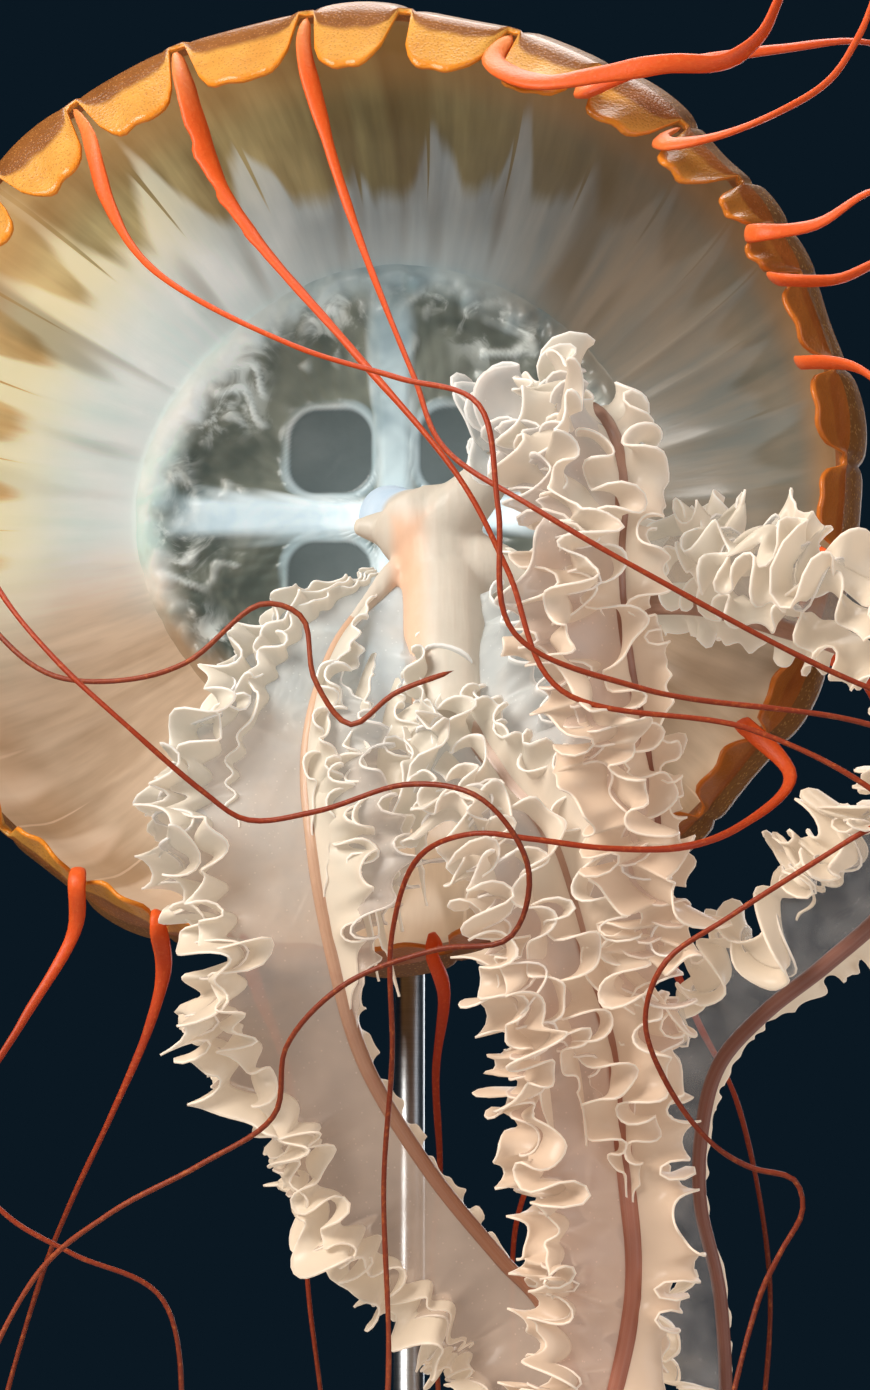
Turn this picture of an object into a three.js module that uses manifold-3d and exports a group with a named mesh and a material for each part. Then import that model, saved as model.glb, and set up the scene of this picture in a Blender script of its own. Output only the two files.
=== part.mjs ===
// Pacific sea nettle (Chrysaora fuscescens) as a still, life-size model on a plain display stand.
// Millimetres. +Z is up, +X to the right, and the animal's mouth side faces -Y.
// The origin is the centre of the stand's underside.

import * as THREE from 'three';
import { mergeVertices } from 'three/addons/utils/BufferGeometryUtils.js';
import Module from 'manifold-3d';

const wasm = await Module();
wasm.setup();

// ---------------------------------------------------------------- driving dimensions

const GAP = 0.35;

// The animal swims away and upwards: its own frame has x to the right, y towards the top of the
// bell's rim and z forwards out of the bell, pitched up by BANK about the x axis.
const BANK = 15;
const BELL_HEIGHT = 590;

const RIM_WIDE = 130;
const RIM_TALL = 124;
const BELL_CENTRE = [-2, 0, 0];
const BELL_OPENING = [-0.1925, 0.06, 0.979];
const RIM_DEPTH = 36;
const SUBUMBRELLA_DEPTH = -37;
const APEX_DEPTH = -60;

const LAPPET_LENGTH = 14;
const LAPPET_THICK = 2.2;
const CURL_MEAN = 42;
const CURL_SWING = 20;
const CURL_SIDE = 125;

// Angles of the clefts between the lappets: the top ones are spread by the beat of the bell.
const TOP_CLEFTS = [138, 124.7, 110.3, 94.1, 82.6, 69.4, 58, 46.3, 37, 30.3, 23.9];
const CLEFT_COUNT = 32;

const TENTACLE_ROOT = 2.3;
const TENTACLE_TIP = 0.65;
const TENTACLE_STEP = 32;
const TENTACLE_STEPS = 12;
const TENTACLE_CLOSER = 1.6;

const ROD_RADIUS = 4;
const ROD_PLACE = [9, 54];
const ROD_TOP = 519;
const BASE_RADIUS = 150;
const BASE_THICK = 14;

// ---------------------------------------------------------------- helpers

const deg = THREE.MathUtils.degToRad;
const vec = (p) => new THREE.Vector3(p[0], p[1], p[2]);
const smooth = (a, b, t) => THREE.MathUtils.smoothstep(t, a, b);

// The animal's down direction, in its own frame.
const DOWN = new THREE.Vector3(0, -Math.cos(deg(BANK)), Math.sin(deg(BANK)));

function heightOf(p) {
  return BELL_HEIGHT - p.dot(DOWN);
}

// A frame that slides along a row of points without twisting.
function framesAlong(points, firstSide) {
  const frames = [];
  let side = firstSide.clone();
  for (let i = 0; i < points.length; i++) {
    const before = points[Math.max(0, i - 1)];
    const after = points[Math.min(points.length - 1, i + 1)];
    const along = after.clone().sub(before).normalize();
    side.addScaledVector(along, -side.dot(along)).normalize();
    frames.push({ along, side: side.clone(), out: side.clone().cross(along) });
    side = side.clone();
  }
  return frames;
}

function toSolid(geometry) {
  const plain = geometry.index ? geometry.toNonIndexed() : geometry.clone();
  plain.deleteAttribute('normal');
  plain.deleteAttribute('uv');
  const merged = mergeVertices(plain, 1e-4);
  return new wasm.Manifold(new wasm.Mesh({
    numProp: 3,
    vertProperties: new Float32Array(merged.attributes.position.array),
    triVerts: new Uint32Array(merged.index.array),
  }));
}

function toGeometry(solid) {
  const mesh = solid.getMesh();
  const geometry = new THREE.BufferGeometry();
  const positions = new Float32Array(mesh.numVert * 3);
  for (let i = 0; i < mesh.numVert; i++) {
    for (let k = 0; k < 3; k++) {
      positions[3 * i + k] = mesh.vertProperties[i * mesh.numProp + k];
    }
  }
  geometry.setAttribute('position', new THREE.BufferAttribute(positions, 3));
  geometry.setIndex(new THREE.BufferAttribute(new Uint32Array(mesh.triVerts), 1));
  return geometry;
}

function reshape(geometry, move) {
  const place = geometry.attributes.position;
  const p = new THREE.Vector3();
  for (let i = 0; i < place.count; i++) {
    p.fromBufferAttribute(place, i);
    const q = move(p, i);
    place.setXYZ(i, q.x, q.y, q.z);
  }
  geometry.deleteAttribute('normal');
  geometry.deleteAttribute('uv');
  return mergeVertices(geometry, 1e-4);
}

// ---------------------------------------------------------------- bell

const opening = vec(BELL_OPENING).normalize();
const across = new THREE.Vector3(0, 1, 0).cross(opening).normalize();
const upward = opening.clone().cross(across);

function bellToAnimal(u, v, w) {
  return vec(BELL_CENTRE)
    .addScaledVector(across, u)
    .addScaledVector(upward, v)
    .addScaledVector(opening, w);
}

// A point of the bell: angle about its axis, radius as a share of the rim, and depth.
function bellPoint(angle, radius, depth) {
  return bellToAnimal(
    RIM_WIDE * radius * Math.cos(angle),
    RIM_TALL * radius * Math.sin(angle),
    depth,
  );
}

// A point on the lappets' ring: distance from the rim along the lappet, and side of it.
function lappetPoint(angle, distance, side) {
  const curl = deg(CURL_MEAN + CURL_SWING * Math.cos(angle - deg(CURL_SIDE)));
  const inward = distance * Math.sin(curl) - side * Math.cos(curl);
  const forward = distance * Math.cos(curl) + side * Math.sin(curl);
  const radius = 0.965 - inward / RIM_TALL;
  return bellPoint(angle, radius, RIM_DEPTH + forward);
}

// Stations round the wall, from the apex over the outside to the rim and back up the inside.
const OUTSIDE = [[0, -60], [0.24, -58], [0.44, -53], [0.62, -44], [0.78, -29], [0.9, -9], [0.97, 9], [1, 23]];
const LAPPETS = [[0, 1], [LAPPET_LENGTH, 0.8], [LAPPET_LENGTH, -0.8], [3, -1.2]];
const INSIDE = [[0.95, 25], [0.93, 9], [0.85, -7], [0.73, -19], [0.57, -27], [0.4, -32], [0.2, -36], [0, -37]];
const STATIONS = OUTSIDE.length + LAPPETS.length + INSIDE.length;
const BELL_SEGMENTS = 48;

function wallPoint(angle, station) {
  if (station < OUTSIDE.length) {
    const [radius, depth] = OUTSIDE[station];
    return bellPoint(angle, radius, depth);
  }
  if (station < OUTSIDE.length + LAPPETS.length) {
    const [distance, side] = LAPPETS[station - OUTSIDE.length];
    return lappetPoint(angle, distance, side * LAPPET_THICK / 2);
  }
  const [radius, depth] = INSIDE[station - OUTSIDE.length - LAPPETS.length];
  const pouch = smooth(0.15, 0.4, radius) * (1 - smooth(0.5, 0.74, radius));
  return bellPoint(angle, radius, depth + 3.5 * pouch * Math.cos(4 * angle));
}

function cleftAngles() {
  const last = TOP_CLEFTS[TOP_CLEFTS.length - 1];
  const rest = CLEFT_COUNT - TOP_CLEFTS.length;
  const step = (360 - (TOP_CLEFTS[0] - last)) / (rest + 1);
  const angles = TOP_CLEFTS.slice();
  for (let i = 1; i <= rest; i++) {
    angles.push(last - i * step);
  }
  return angles.map(deg);
}

const CLEFTS = cleftAngles();

// A tool that cuts one cleft: narrow at the rim and flaring between the lappets' tips.
function cleftTool(angle) {
  const width = 3.1;
  const outline = new THREE.Shape([
    new THREE.Vector2(-width, 0.8),
    new THREE.Vector2(width, 0.8),
    new THREE.Vector2(width + 1.1, 8),
    new THREE.Vector2(width + 5.5, 22),
    new THREE.Vector2(-width - 5.5, 22),
    new THREE.Vector2(-width - 1.1, 8),
  ]);
  const tool = new THREE.ExtrudeGeometry(outline, { depth: 16, bevelEnabled: false });
  const foot = lappetPoint(angle, 0, 0);
  const tip = lappetPoint(angle, LAPPET_LENGTH, 0);
  const along = tip.clone().sub(foot).normalize();
  const tangent = bellPoint(angle + 0.02, 1, 0).sub(bellPoint(angle - 0.02, 1, 0)).normalize();
  tangent.addScaledVector(along, -tangent.dot(along)).normalize();
  const through = tangent.clone().cross(along);
  const matrix = new THREE.Matrix4().makeBasis(tangent, along, through);
  matrix.setPosition(foot.clone().addScaledVector(through, -8));
  return tool.applyMatrix4(matrix);
}

function makeBell() {
  const profile = [];
  for (let j = 0; j < STATIONS; j++) {
    profile.push(new THREE.Vector2(j === 0 || j === STATIONS - 1 ? 0 : 10, j));
  }
  const wall = new THREE.LatheGeometry(profile, BELL_SEGMENTS);
  const shaped = reshape(wall, (p, i) => {
    const station = i % STATIONS;
    const turn = Math.floor(i / STATIONS) % BELL_SEGMENTS;
    return wallPoint(2 * Math.PI * turn / BELL_SEGMENTS, station);
  });
  let solid = toSolid(shaped);
  for (const angle of CLEFTS) {
    solid = solid.subtract(toSolid(cleftTool(angle)));
  }
  return solid;
}

// ---------------------------------------------------------------- manubrium

const THROAT = [[4.9, -2.1, -34], [3.6, -2, -26], [8, -7, -8], [13, -15, 12], [14, -18, 21]];
const THROAT_RADIUS = [19, 15, 14.5, 16, 14];

function makeManubrium(bell) {
  const curve = new THREE.CatmullRomCurve3(THROAT.map(vec));
  const steps = 8;
  const points = curve.getSpacedPoints(steps);
  const frames = framesAlong(points, new THREE.Vector3(1, 0, 0));
  const stalk = new THREE.CylinderGeometry(1, 1, 1, 12, steps);
  const shaped = reshape(stalk, (p) => {
    const t = (p.y + 0.5) * steps;
    const i = Math.round(t);
    const k = Math.min(3, Math.floor(i / 2));
    const radius = THREE.MathUtils.lerp(THROAT_RADIUS[k], THROAT_RADIUS[k + 1], i / 2 - k);
    const angle = Math.atan2(p.z, p.x);
    const lobed = radius * (1 + 0.09 * Math.cos(4 * angle)) * Math.hypot(p.x, p.z);
    return points[i].clone()
      .addScaledVector(frames[i].side, lobed * Math.cos(angle))
      .addScaledVector(frames[i].out, lobed * Math.sin(angle));
  });
  return shaped;
}

// ---------------------------------------------------------------- hanging routes

// Points that carry a route on from its last point, falling to a height above the floor.
function hangOn(route, tipHeight, sway, phase) {
  const points = route.slice();
  const last = points[points.length - 1].clone();
  const before = points[points.length - 2];
  const drop = heightOf(last) - tipHeight;
  if (drop <= 0) {
    return points;
  }
  const drift = last.clone().sub(before).normalize().multiplyScalar(16);
  const count = Math.max(2, Math.round(drop / 46));
  for (let i = 1; i <= count; i++) {
    const s = i / count;
    const carried = 1 - Math.exp(-2 * i);
    const p = last.clone()
      .addScaledVector(DOWN, drop * s)
      .addScaledVector(drift, carried)
      .addScaledVector(DOWN, -drift.dot(DOWN) * carried);
    p.x += sway * Math.sin(phase + 1.25 * i) - sway * Math.sin(phase);
    p.z += 0.6 * sway * (Math.cos(phase + 1.05 * i) - Math.cos(phase));
    points.push(p);
  }
  return points;
}

// ---------------------------------------------------------------- tentacles

// Each tentacle: cleft it grows from, height of its tip, sway, phase, and the places it passes.
const TENTACLES = [
  { cleft: 1, tip: 150, sway: 6, phase: 0.4, route: [[-66, 72, 36], [-53, 52, 58], [-16, 27, 102],
    [8, 17, 124], [25, 10, 136], [29, -12, 141], [32, -38, 142], [59, -50, 140], [109, -58, 133],
    [138, -72, 126], [156, -100, 112]] },
  { cleft: 2, tip: 95, sway: 6, phase: 0.3, route: [[-40, 80, 38], [-29, 61, 54], [-3, 28, 84],
    [22, -4, 104], [32, -24, 109], [43, -50, 114], [85, -59, 117], [113, -74, 124], [134, -98, 122],
    [138, -128, 116]] },
  { cleft: 3, tip: 210, sway: 6, phase: 0.5, route: [[-11, 86, 46], [-3, 60, 60], [11, 21, 94],
    [18, 3, 111], [37, -11, 125], [60, -25, 131], [109, -50, 129], [146, -60, 124], [172, -84, 104]] },
  { cleft: 5, tip: 190, sway: 6, phase: 0.6, route: [[41, 96, 60], [56, 97, 64], [71, 99, 66],
    [85, 100, 64], [94, 107, 60], [99, 117, 56], [108, 140, 46], [134, 158, 34], [164, 142, 22],
    [176, 100, 14]] },
  { cleft: 6, tip: 250, sway: 6, phase: 0.7, route: [[62, 99, 56], [80, 104, 48], [101, 108, 44],
    [124, 111, 38], [146, 104, 24], [162, 80, 6]] },
  { cleft: 7, tip: 120, sway: 6, phase: 0.6, route: [[84, 82, 66], [98, 87, 70], [109, 94, 70],
    [117, 106, 66], [124, 121, 62], [142, 136, 54], [160, 128, 48], [174, 98, 40]] },
  { cleft: 9, tip: 230, sway: 6, phase: 0.5, route: [[106, 60, 70], [120, 68, 70], [138, 66, 60],
    [154, 46, 44]] },
  { cleft: 10, tip: 165, sway: 6, phase: 0.4, route: [[110, 46, 76], [124, 50, 82], [140, 36, 80],
    [150, 8, 66]] },
  { cleft: 11, tip: 205, sway: 6, phase: 3.3, route: [[114, 24, 84], [126, 6, 100], [133, -14, 110],
    [136, -40, 119], [130, -67, 120.5], [105, -84, 117], [80, -100, 117], [66, -110, 117], [62, -123, 114],
    [68, -139, 108], [78, -152, 103], [87, -158, 99], [97, -161, 98], [99, -168, 97], [94, -178, 96],
    [89, -189, 96]] },
  { cleft: 13, tip: 115, sway: 5, phase: 0.5, route: [[122, -24, 76], [136, -34, 70], [146, -54, 58],
    [150, -84, 46]] },
  { cleft: 14, tip: 260, sway: 5, phase: 0.6, route: [[117, -47, 68], [127, -68, 64], [136, -90, 60],
    [138, -120, 60]] },
  { cleft: 15, tip: 140, sway: 5, phase: 0.6, route: [[98, -70, 84], [84, -81, 102], [70, -85, 112],
    [53, -85, 115], [37, -83, 115], [24, -82, 112], [12, -88, 102], [6, -106, 94], [6, -134, 90],
    [4, -164, 86]] },
  { cleft: 17, tip: 175, sway: 5, phase: 0.5, route: [[72, -114, 52], [82, -134, 34], [94, -158, 18]] },
  { cleft: 18, tip: 90, sway: 5, phase: 0.4, route: [[41, -118, 54], [41, -140, 42], [42, -164, 32],
    [36, -188, 26]] },
  { cleft: 19, tip: 240, sway: 5, phase: 0.3, route: [[18, -124, 50], [16, -145, 42], [17, -171, 36],
    [15, -194, 32]] },
  { cleft: 21, tip: 130, sway: 5, phase: 0.2, route: [[-28, -124, 44], [-22, -144, 30], [-19, -170, 18],
    [-17, -206, 12]] },
  { cleft: 22, tip: 200, sway: 6, phase: 2.6, route: [[-52, -120, 36], [-56, -135, 34], [-66, -158, 32],
    [-76, -179, 28], [-85, -201, 22]] },
  { cleft: 23, tip: 105, sway: 6, phase: 2.5, route: [[-74, -110, 38], [-86, -132, 44], [-96, -150, 48],
    [-98, -166, 52], [-88, -178, 54], [-72, -187, 55], [-50, -198, 56]] },
  { cleft: 25, tip: 215, sway: 6, phase: 2.4, route: [[-109, -78, 42], [-103, -97, 34], [-99, -122, 20],
    [-103, -148, 6]] },
  { cleft: 26, tip: 160, sway: 7, phase: 2.5, route: [[-124, -58, 30], [-132, -76, 26], [-134, -104, 18]] },
  { cleft: 27, tip: 270, sway: 7, phase: 2.6, route: [[-133, -32, 34], [-148, -46, 36], [-156, -74, 30]] },
  { cleft: 29, tip: 0, sway: 0, phase: 0, short: true, route: [[-117, 10, 42], [-100, -16, 68],
    [-84, -38, 88], [-71, -47, 94], [-54, -48, 98], [-40, -44, 100], [-23, -31, 102], [-14, -34, 103],
    [-11, -48, 106], [-3, -58, 108], [7, -51, 111], [20, -46, 112]] },
  { cleft: 30, tip: 85, sway: 7, phase: 2.8, route: [[-110, 30, 38], [-100, 4, 66], [-84, -26, 96],
    [-69, -43, 108], [-51, -59, 114], [-35, -73, 112], [-26, -79, 110], [-10, -77, 112], [10, -71, 115],
    [26, -74, 122], [36, -89, 124], [32, -104, 122], [16, -107, 118], [-4, -115, 114], [-17, -129, 110],
    [-20, -145, 106], [-37, -157, 101], [-58, -169, 96], [-76, -185, 91]] },
  { cleft: 31, tip: 180, sway: 7, phase: 2.7, route: [[-108, 60, 36], [-124, 52, 52], [-142, 36, 58],
    [-156, 6, 58], [-162, -34, 52]] },
];

function tentacleRoute(spec) {
  const angle = CLEFTS[spec.cleft];
  const foot = lappetPoint(angle, 1 + GAP, 0);
  const next = vec(spec.route[0]);
  const lead = lappetPoint(angle, 13, 0.6);
  const forward = lead.clone().sub(foot).normalize();
  const start = [foot, lead];
  if (next.clone().sub(lead).dot(forward) < 0) {
    // The tentacle rounds the lappets' tips in one easy bend.
    start[1] = lappetPoint(angle, 10, 0.6);
    start.push(start[1].clone().lerp(next, 0.4).addScaledVector(forward, 6));
  }
  const route = start.concat(spec.route.map(vec));
  return spec.short ? route : hangOn(route, spec.tip, spec.sway, spec.phase);
}

function makeTentacle(spec) {
  const curve = new THREE.CatmullRomCurve3(tentacleRoute(spec));
  curve.arcLengthDivisions = 600;
  const length = curve.getLength();
  const steps = Math.max(TENTACLE_STEPS, 2 * Math.round(length / TENTACLE_STEP / 2));
  const points = [];
  for (let i = 0; i <= steps; i++) {
    points.push(curve.getPointAt(Math.pow(i / steps, TENTACLE_CLOSER)));
  }
  const frames = framesAlong(points, new THREE.Vector3(0.3, 0.2, 1));
  const pieces = [];
  for (const half of [0, 1]) {
    const count = steps / 2;
    const stick = new THREE.CylinderGeometry(1, 1, 1, 4, count);
    pieces.push(reshape(stick, (p) => {
      const i = Math.round((p.y + 0.5) * count) + half * count;
      const t = i / steps;
      const taper = TENTACLE_TIP + (TENTACLE_ROOT - TENTACLE_TIP) * Math.pow(1 - t, 1.5);
      const spot = points[i].clone()
        .addScaledVector(frames[i].side, taper * p.x)
        .addScaledVector(frames[i].out, taper * p.z);
      if (half === 1 && i === count) {
        spot.addScaledVector(frames[i].along, GAP);
      }
      return spot;
    }));
  }
  return pieces;
}

// ---------------------------------------------------------------- oral arms

// Each arm is a gutter: a midrib with a broad frilled wing and a narrow one.
const ARMS = [
  { name: 'left', tip: 96, sway: 10, phase: 0.5, broad: 33, narrow: 13,
    broadWay: [[-1, 0.1, 0.05], [-1, 0.1, 0.05]], narrowWay: [[0.5, -0.2, -0.8], [0.3, 0.1, -1]],
    route: [[4, -22, 27], [-9, -40, 44], [-15, -64, 58], [-13, -88, 68], [-8, -114, 71],
      [-1, -139, 66], [15, -167, 58], [32, -189, 52], [43, -202, 50]] },
  { name: 'middle', tip: 66, sway: 9, phase: 2.4, broad: 27, narrow: 8,
    broadWay: [[-0.9, 0, 0.4], [-1, 0, 0.3]], narrowWay: [[0.5, 0, -0.8], [0.6, 0, -0.8]],
    route: [[15, -29, 27], [20, -44, 42], [24, -58, 54], [33, -72, 65], [42, -83, 75], [48, -99, 81],
      [52, -115, 82], [57, -133, 81], [60, -160, 79], [62, -190, 80]] },
  { name: 'right', tip: 120, sway: 9, phase: 1.2, broad: 24, narrow: 7,
    broadWay: [[-0.1, 0.9, 0.5], [-0.7, 0.6, 0.3]], narrowWay: [[0.2, -0.8, -0.7], [0.5, -0.5, -0.6]],
    route: [[26, -18, 25], [44, -24, 26], [62, -28, 36], [80, -30, 62], [96, -36, 86], [112, -43, 98],
      [126, -61, 102], [128, -81, 102], [119, -99, 96], [106, -113, 88], [93, -126, 76],
      [84, -140, 62], [81, -156, 52], [81, -176, 46], [86, -200, 46]] },
  { name: 'far', tip: 84, sway: 9, phase: 0.6, broad: 13, narrow: 6,
    broadWay: [[-0.8, 0.5, 0.3], [0.2, -0.1, 1]], narrowWay: [[0.5, -0.5, -0.6], [0.3, 0, -0.9]],
    route: [[21, -5, 26], [34, 8, 28], [50, 18, 48], [57, 11, 72], [59, -4, 86], [58, -23, 92],
      [60, -43, 92], [64, -62, 88], [67, -80, 82], [67, -97, 75], [64, -112, 67], [61, -128, 52],
      [58, -150, 36], [57, -172, 25], [56, -196, 20], [55, -220, 20]] },
];

// Turns the diagonals of a strip's back quads to run as the front ones do, so that a ruffled strip
// keeps its thickness.
function matchDiagonals(strip) {
  const index = strip.index;
  const back = strip.groups[5];
  for (let k = back.start; k < back.start + back.count; k += 6) {
    const [a, b, d, c] = [index.getX(k), index.getX(k + 1), index.getX(k + 2), index.getX(k + 4)];
    [a, b, c, a, c, d].forEach((corner, j) => index.setX(k + j, corner));
  }
  return strip;
}

const ARM_STEP = 24;
const ARM_ACROSS = 4;

function armWidth(t) {
  return smooth(-0.06, 0.16, t) * (1 - 0.72 * smooth(0.2, 1, t));
}

function makeArm(spec) {
  const curve = new THREE.CatmullRomCurve3(hangOn(spec.route.map(vec), spec.tip, spec.sway, spec.phase));
  curve.arcLengthDivisions = 600;
  const steps = 2 * Math.round(curve.getLength() / ARM_STEP / 2);
  const points = curve.getSpacedPoints(steps);
  const frames = framesAlong(points, new THREE.Vector3(1, 0, 0));
  const pieces = [];
  for (const half of [0, 1]) {
    const count = steps / 2;
    const strip = matchDiagonals(new THREE.BoxGeometry(2, 1, 1, ARM_ACROSS, count, 1));
    pieces.push(reshape(strip, (p) => {
      const i = Math.round((p.y + 0.5) * count) + half * count;
      const t = i / steps;
      const along = frames[i].along;
      const turn = smooth(0.12, 0.4, t);
      const flat = (ways) => {
        const way = vec(ways[0]).normalize().lerp(vec(ways[1]).normalize(), turn);
        return way.addScaledVector(along, -way.dot(along)).normalize();
      };
      const broadSide = flat(spec.broadWay);
      const narrowSide = flat(spec.narrowWay);
      const share = Math.abs(p.x);
      const way = p.x < 0 ? broadSide : narrowSide;
      const reach = p.x < 0 ? spec.broad : spec.narrow;
      const faceBroad = broadSide.clone().negate().cross(along);
      const faceNarrow = narrowSide.clone().cross(along);
      const face = faceBroad.lerp(faceNarrow, smooth(-0.5, 0.5, p.x)).normalize();
      const thick = THREE.MathUtils.lerp(2.4, 1.2, share) * (1 - 0.5 * t);
      const ruffle = 4.5 * share * share * Math.sin(1.9 * i + 2.1 * p.x + spec.phase) * armWidth(t);
      const spot = points[i].clone()
        .addScaledVector(way, share * reach * armWidth(t))
        .addScaledVector(face, thick * p.z + (p.x < 0 ? ruffle : 0.5 * ruffle));
      if (half === 1 && i === count) {
        spot.addScaledVector(along, GAP);
      }
      return spot;
    }));
  }
  return pieces;
}

// ---------------------------------------------------------------- stand

function makeRod() {
  const profile = [[0, 4], [ROD_RADIUS, 4], [ROD_RADIUS, BASE_THICK + GAP], [13, BASE_THICK + GAP],
    [13, BASE_THICK + 4], [11.5, BASE_THICK + 5.5], [6, BASE_THICK + 6.5], [ROD_RADIUS, BASE_THICK + 8],
    [ROD_RADIUS, ROD_TOP - 1.5], [2.6, ROD_TOP], [0, ROD_TOP]];
  const rod = new THREE.LatheGeometry(profile.map(([r, z]) => new THREE.Vector2(r, z)), 16);
  rod.rotateX(Math.PI / 2);
  rod.translate(ROD_PLACE[0], ROD_PLACE[1], 0);
  return rod;
}

function makeBase() {
  const profile = [[0, 0], [BASE_RADIUS - 2, 0], [BASE_RADIUS, 2], [BASE_RADIUS, BASE_THICK - 4],
    [BASE_RADIUS - 1.2, BASE_THICK - 1.2], [BASE_RADIUS - 4, BASE_THICK], [0, BASE_THICK]];
  const disc = new THREE.LatheGeometry(profile.map(([r, z]) => new THREE.Vector2(r, z)), 36);
  disc.rotateX(Math.PI / 2);
  const socket = new THREE.CylinderGeometry(ROD_RADIUS + GAP, ROD_RADIUS + GAP, 20, 16);
  socket.rotateX(Math.PI / 2);
  socket.translate(ROD_PLACE[0], ROD_PLACE[1], 4 - GAP + 10);
  return toGeometry(toSolid(disc).subtract(toSolid(socket)));
}

// ---------------------------------------------------------------- assembly

function material(colour, roughness, metalness = 0) {
  return new THREE.MeshStandardMaterial({ color: colour, roughness, metalness });
}

const LOOKS = {
  bell: material(0xb9a98f, 0.35),
  manubrium: material(0xd9a58c, 0.4),
  arm: material(0xe9dccb, 0.45),
  tentacle: material(0xd2603a, 0.4),
  base: material(0x2b2d30, 0.5),
  rod: material(0xb8bcc0, 0.3, 1),
};

const model = new THREE.Group();
const animal = new THREE.Group();
animal.position.set(0, 0, BELL_HEIGHT);
animal.rotation.x = deg(90 + BANK);
model.add(animal);

function addTo(group, name, geometry, look) {
  const mesh = new THREE.Mesh(geometry, look);
  mesh.name = name;
  group.add(mesh);
}

// The rod enters the back of the bell, in a blind hole with a little clearance.
const rodHole = new THREE.CylinderGeometry(ROD_RADIUS + GAP, ROD_RADIUS + GAP, 300, 16);
rodHole.rotateX(Math.PI / 2);
rodHole.translate(ROD_PLACE[0], ROD_PLACE[1], ROD_TOP + GAP - 150);
animal.updateMatrixWorld(true);
rodHole.applyMatrix4(animal.matrixWorld.clone().invert());

const bellSolid = makeBell().subtract(toSolid(rodHole));
addTo(animal, 'bell', toGeometry(bellSolid), LOOKS.bell);

const throat = toSolid(makeManubrium());
addTo(animal, 'manubrium', toGeometry(throat), LOOKS.manubrium);

for (const spec of ARMS) {
  const [upper, lower] = makeArm(spec);
  addTo(animal, `oral_arm_${spec.name}_upper`, upper, LOOKS.arm);
  addTo(animal, `oral_arm_${spec.name}_lower`, lower, LOOKS.arm);
}

TENTACLES.forEach((spec, n) => {
  const [upper, lower] = makeTentacle(spec);
  const name = `tentacle_${String(n + 1).padStart(2, '0')}`;
  addTo(animal, `${name}_upper`, upper, LOOKS.tentacle);
  addTo(animal, `${name}_lower`, lower, LOOKS.tentacle);
});

addTo(model, 'stand_base', makeBase(), LOOKS.base);
addTo(model, 'stand_rod', makeRod(), LOOKS.rod);

export default model;
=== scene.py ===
"""A Pacific sea nettle as a still, life-size model on its display stand.

The animal's own frame is in millimetres: x to the right, y towards the top of the bell's rim, and
z forwards, out of the bell. place() takes it to the stand's frame, in metres.
"""

import math

import bmesh
import bpy
import numpy as np
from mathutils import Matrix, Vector


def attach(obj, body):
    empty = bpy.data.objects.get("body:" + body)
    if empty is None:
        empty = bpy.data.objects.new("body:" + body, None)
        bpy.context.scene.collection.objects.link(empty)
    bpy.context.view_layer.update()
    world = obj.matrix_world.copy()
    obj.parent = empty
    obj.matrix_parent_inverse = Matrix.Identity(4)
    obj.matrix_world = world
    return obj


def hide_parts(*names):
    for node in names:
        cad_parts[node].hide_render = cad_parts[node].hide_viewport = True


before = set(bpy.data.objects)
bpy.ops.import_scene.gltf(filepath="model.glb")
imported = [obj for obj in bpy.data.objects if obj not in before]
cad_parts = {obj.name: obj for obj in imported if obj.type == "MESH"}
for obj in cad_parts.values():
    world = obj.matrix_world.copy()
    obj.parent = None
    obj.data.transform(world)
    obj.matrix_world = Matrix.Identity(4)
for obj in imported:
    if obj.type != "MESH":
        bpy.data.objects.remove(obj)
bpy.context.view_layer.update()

# ---------------------------------------------------------------- the animal's frame

MM = 0.001
BANK = math.radians(15)
BELL_HEIGHT = 590
DOWN = np.array([0, -math.cos(BANK), math.sin(BANK)])


def place(points):
    x, y, z = np.asarray(points, float).T
    return MM * np.stack(
        [
            x,
            -math.sin(BANK) * y - math.cos(BANK) * z,
            BELL_HEIGHT + math.cos(BANK) * y - math.sin(BANK) * z,
        ],
        axis=-1,
    )


def unit(vectors):
    vectors = np.asarray(vectors, float)
    return vectors / np.maximum(np.linalg.norm(vectors, axis=-1, keepdims=True), 1e-9)


def smooth(low, high, t):
    t = np.clip((np.asarray(t, float) - low) / (high - low), 0, 1)
    return t * t * (3 - 2 * t)


def column(values):
    return np.asarray(values, float)[..., None]


def wander(s, step, seed):
    """A smooth, irregular wave between -1 and 1 that changes over about one step of s."""
    draws = np.random.default_rng(int(1000 * seed) + 17).uniform(-1, 1, 512)
    spot = np.asarray(s, float) / step + 7
    low = np.floor(spot).astype(int)
    w = spot - low
    w = w * w * (3 - 2 * w)
    return draws[low % 512] * (1 - w) + draws[(low + 1) % 512] * w


# ---------------------------------------------------------------- smooth lines


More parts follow.
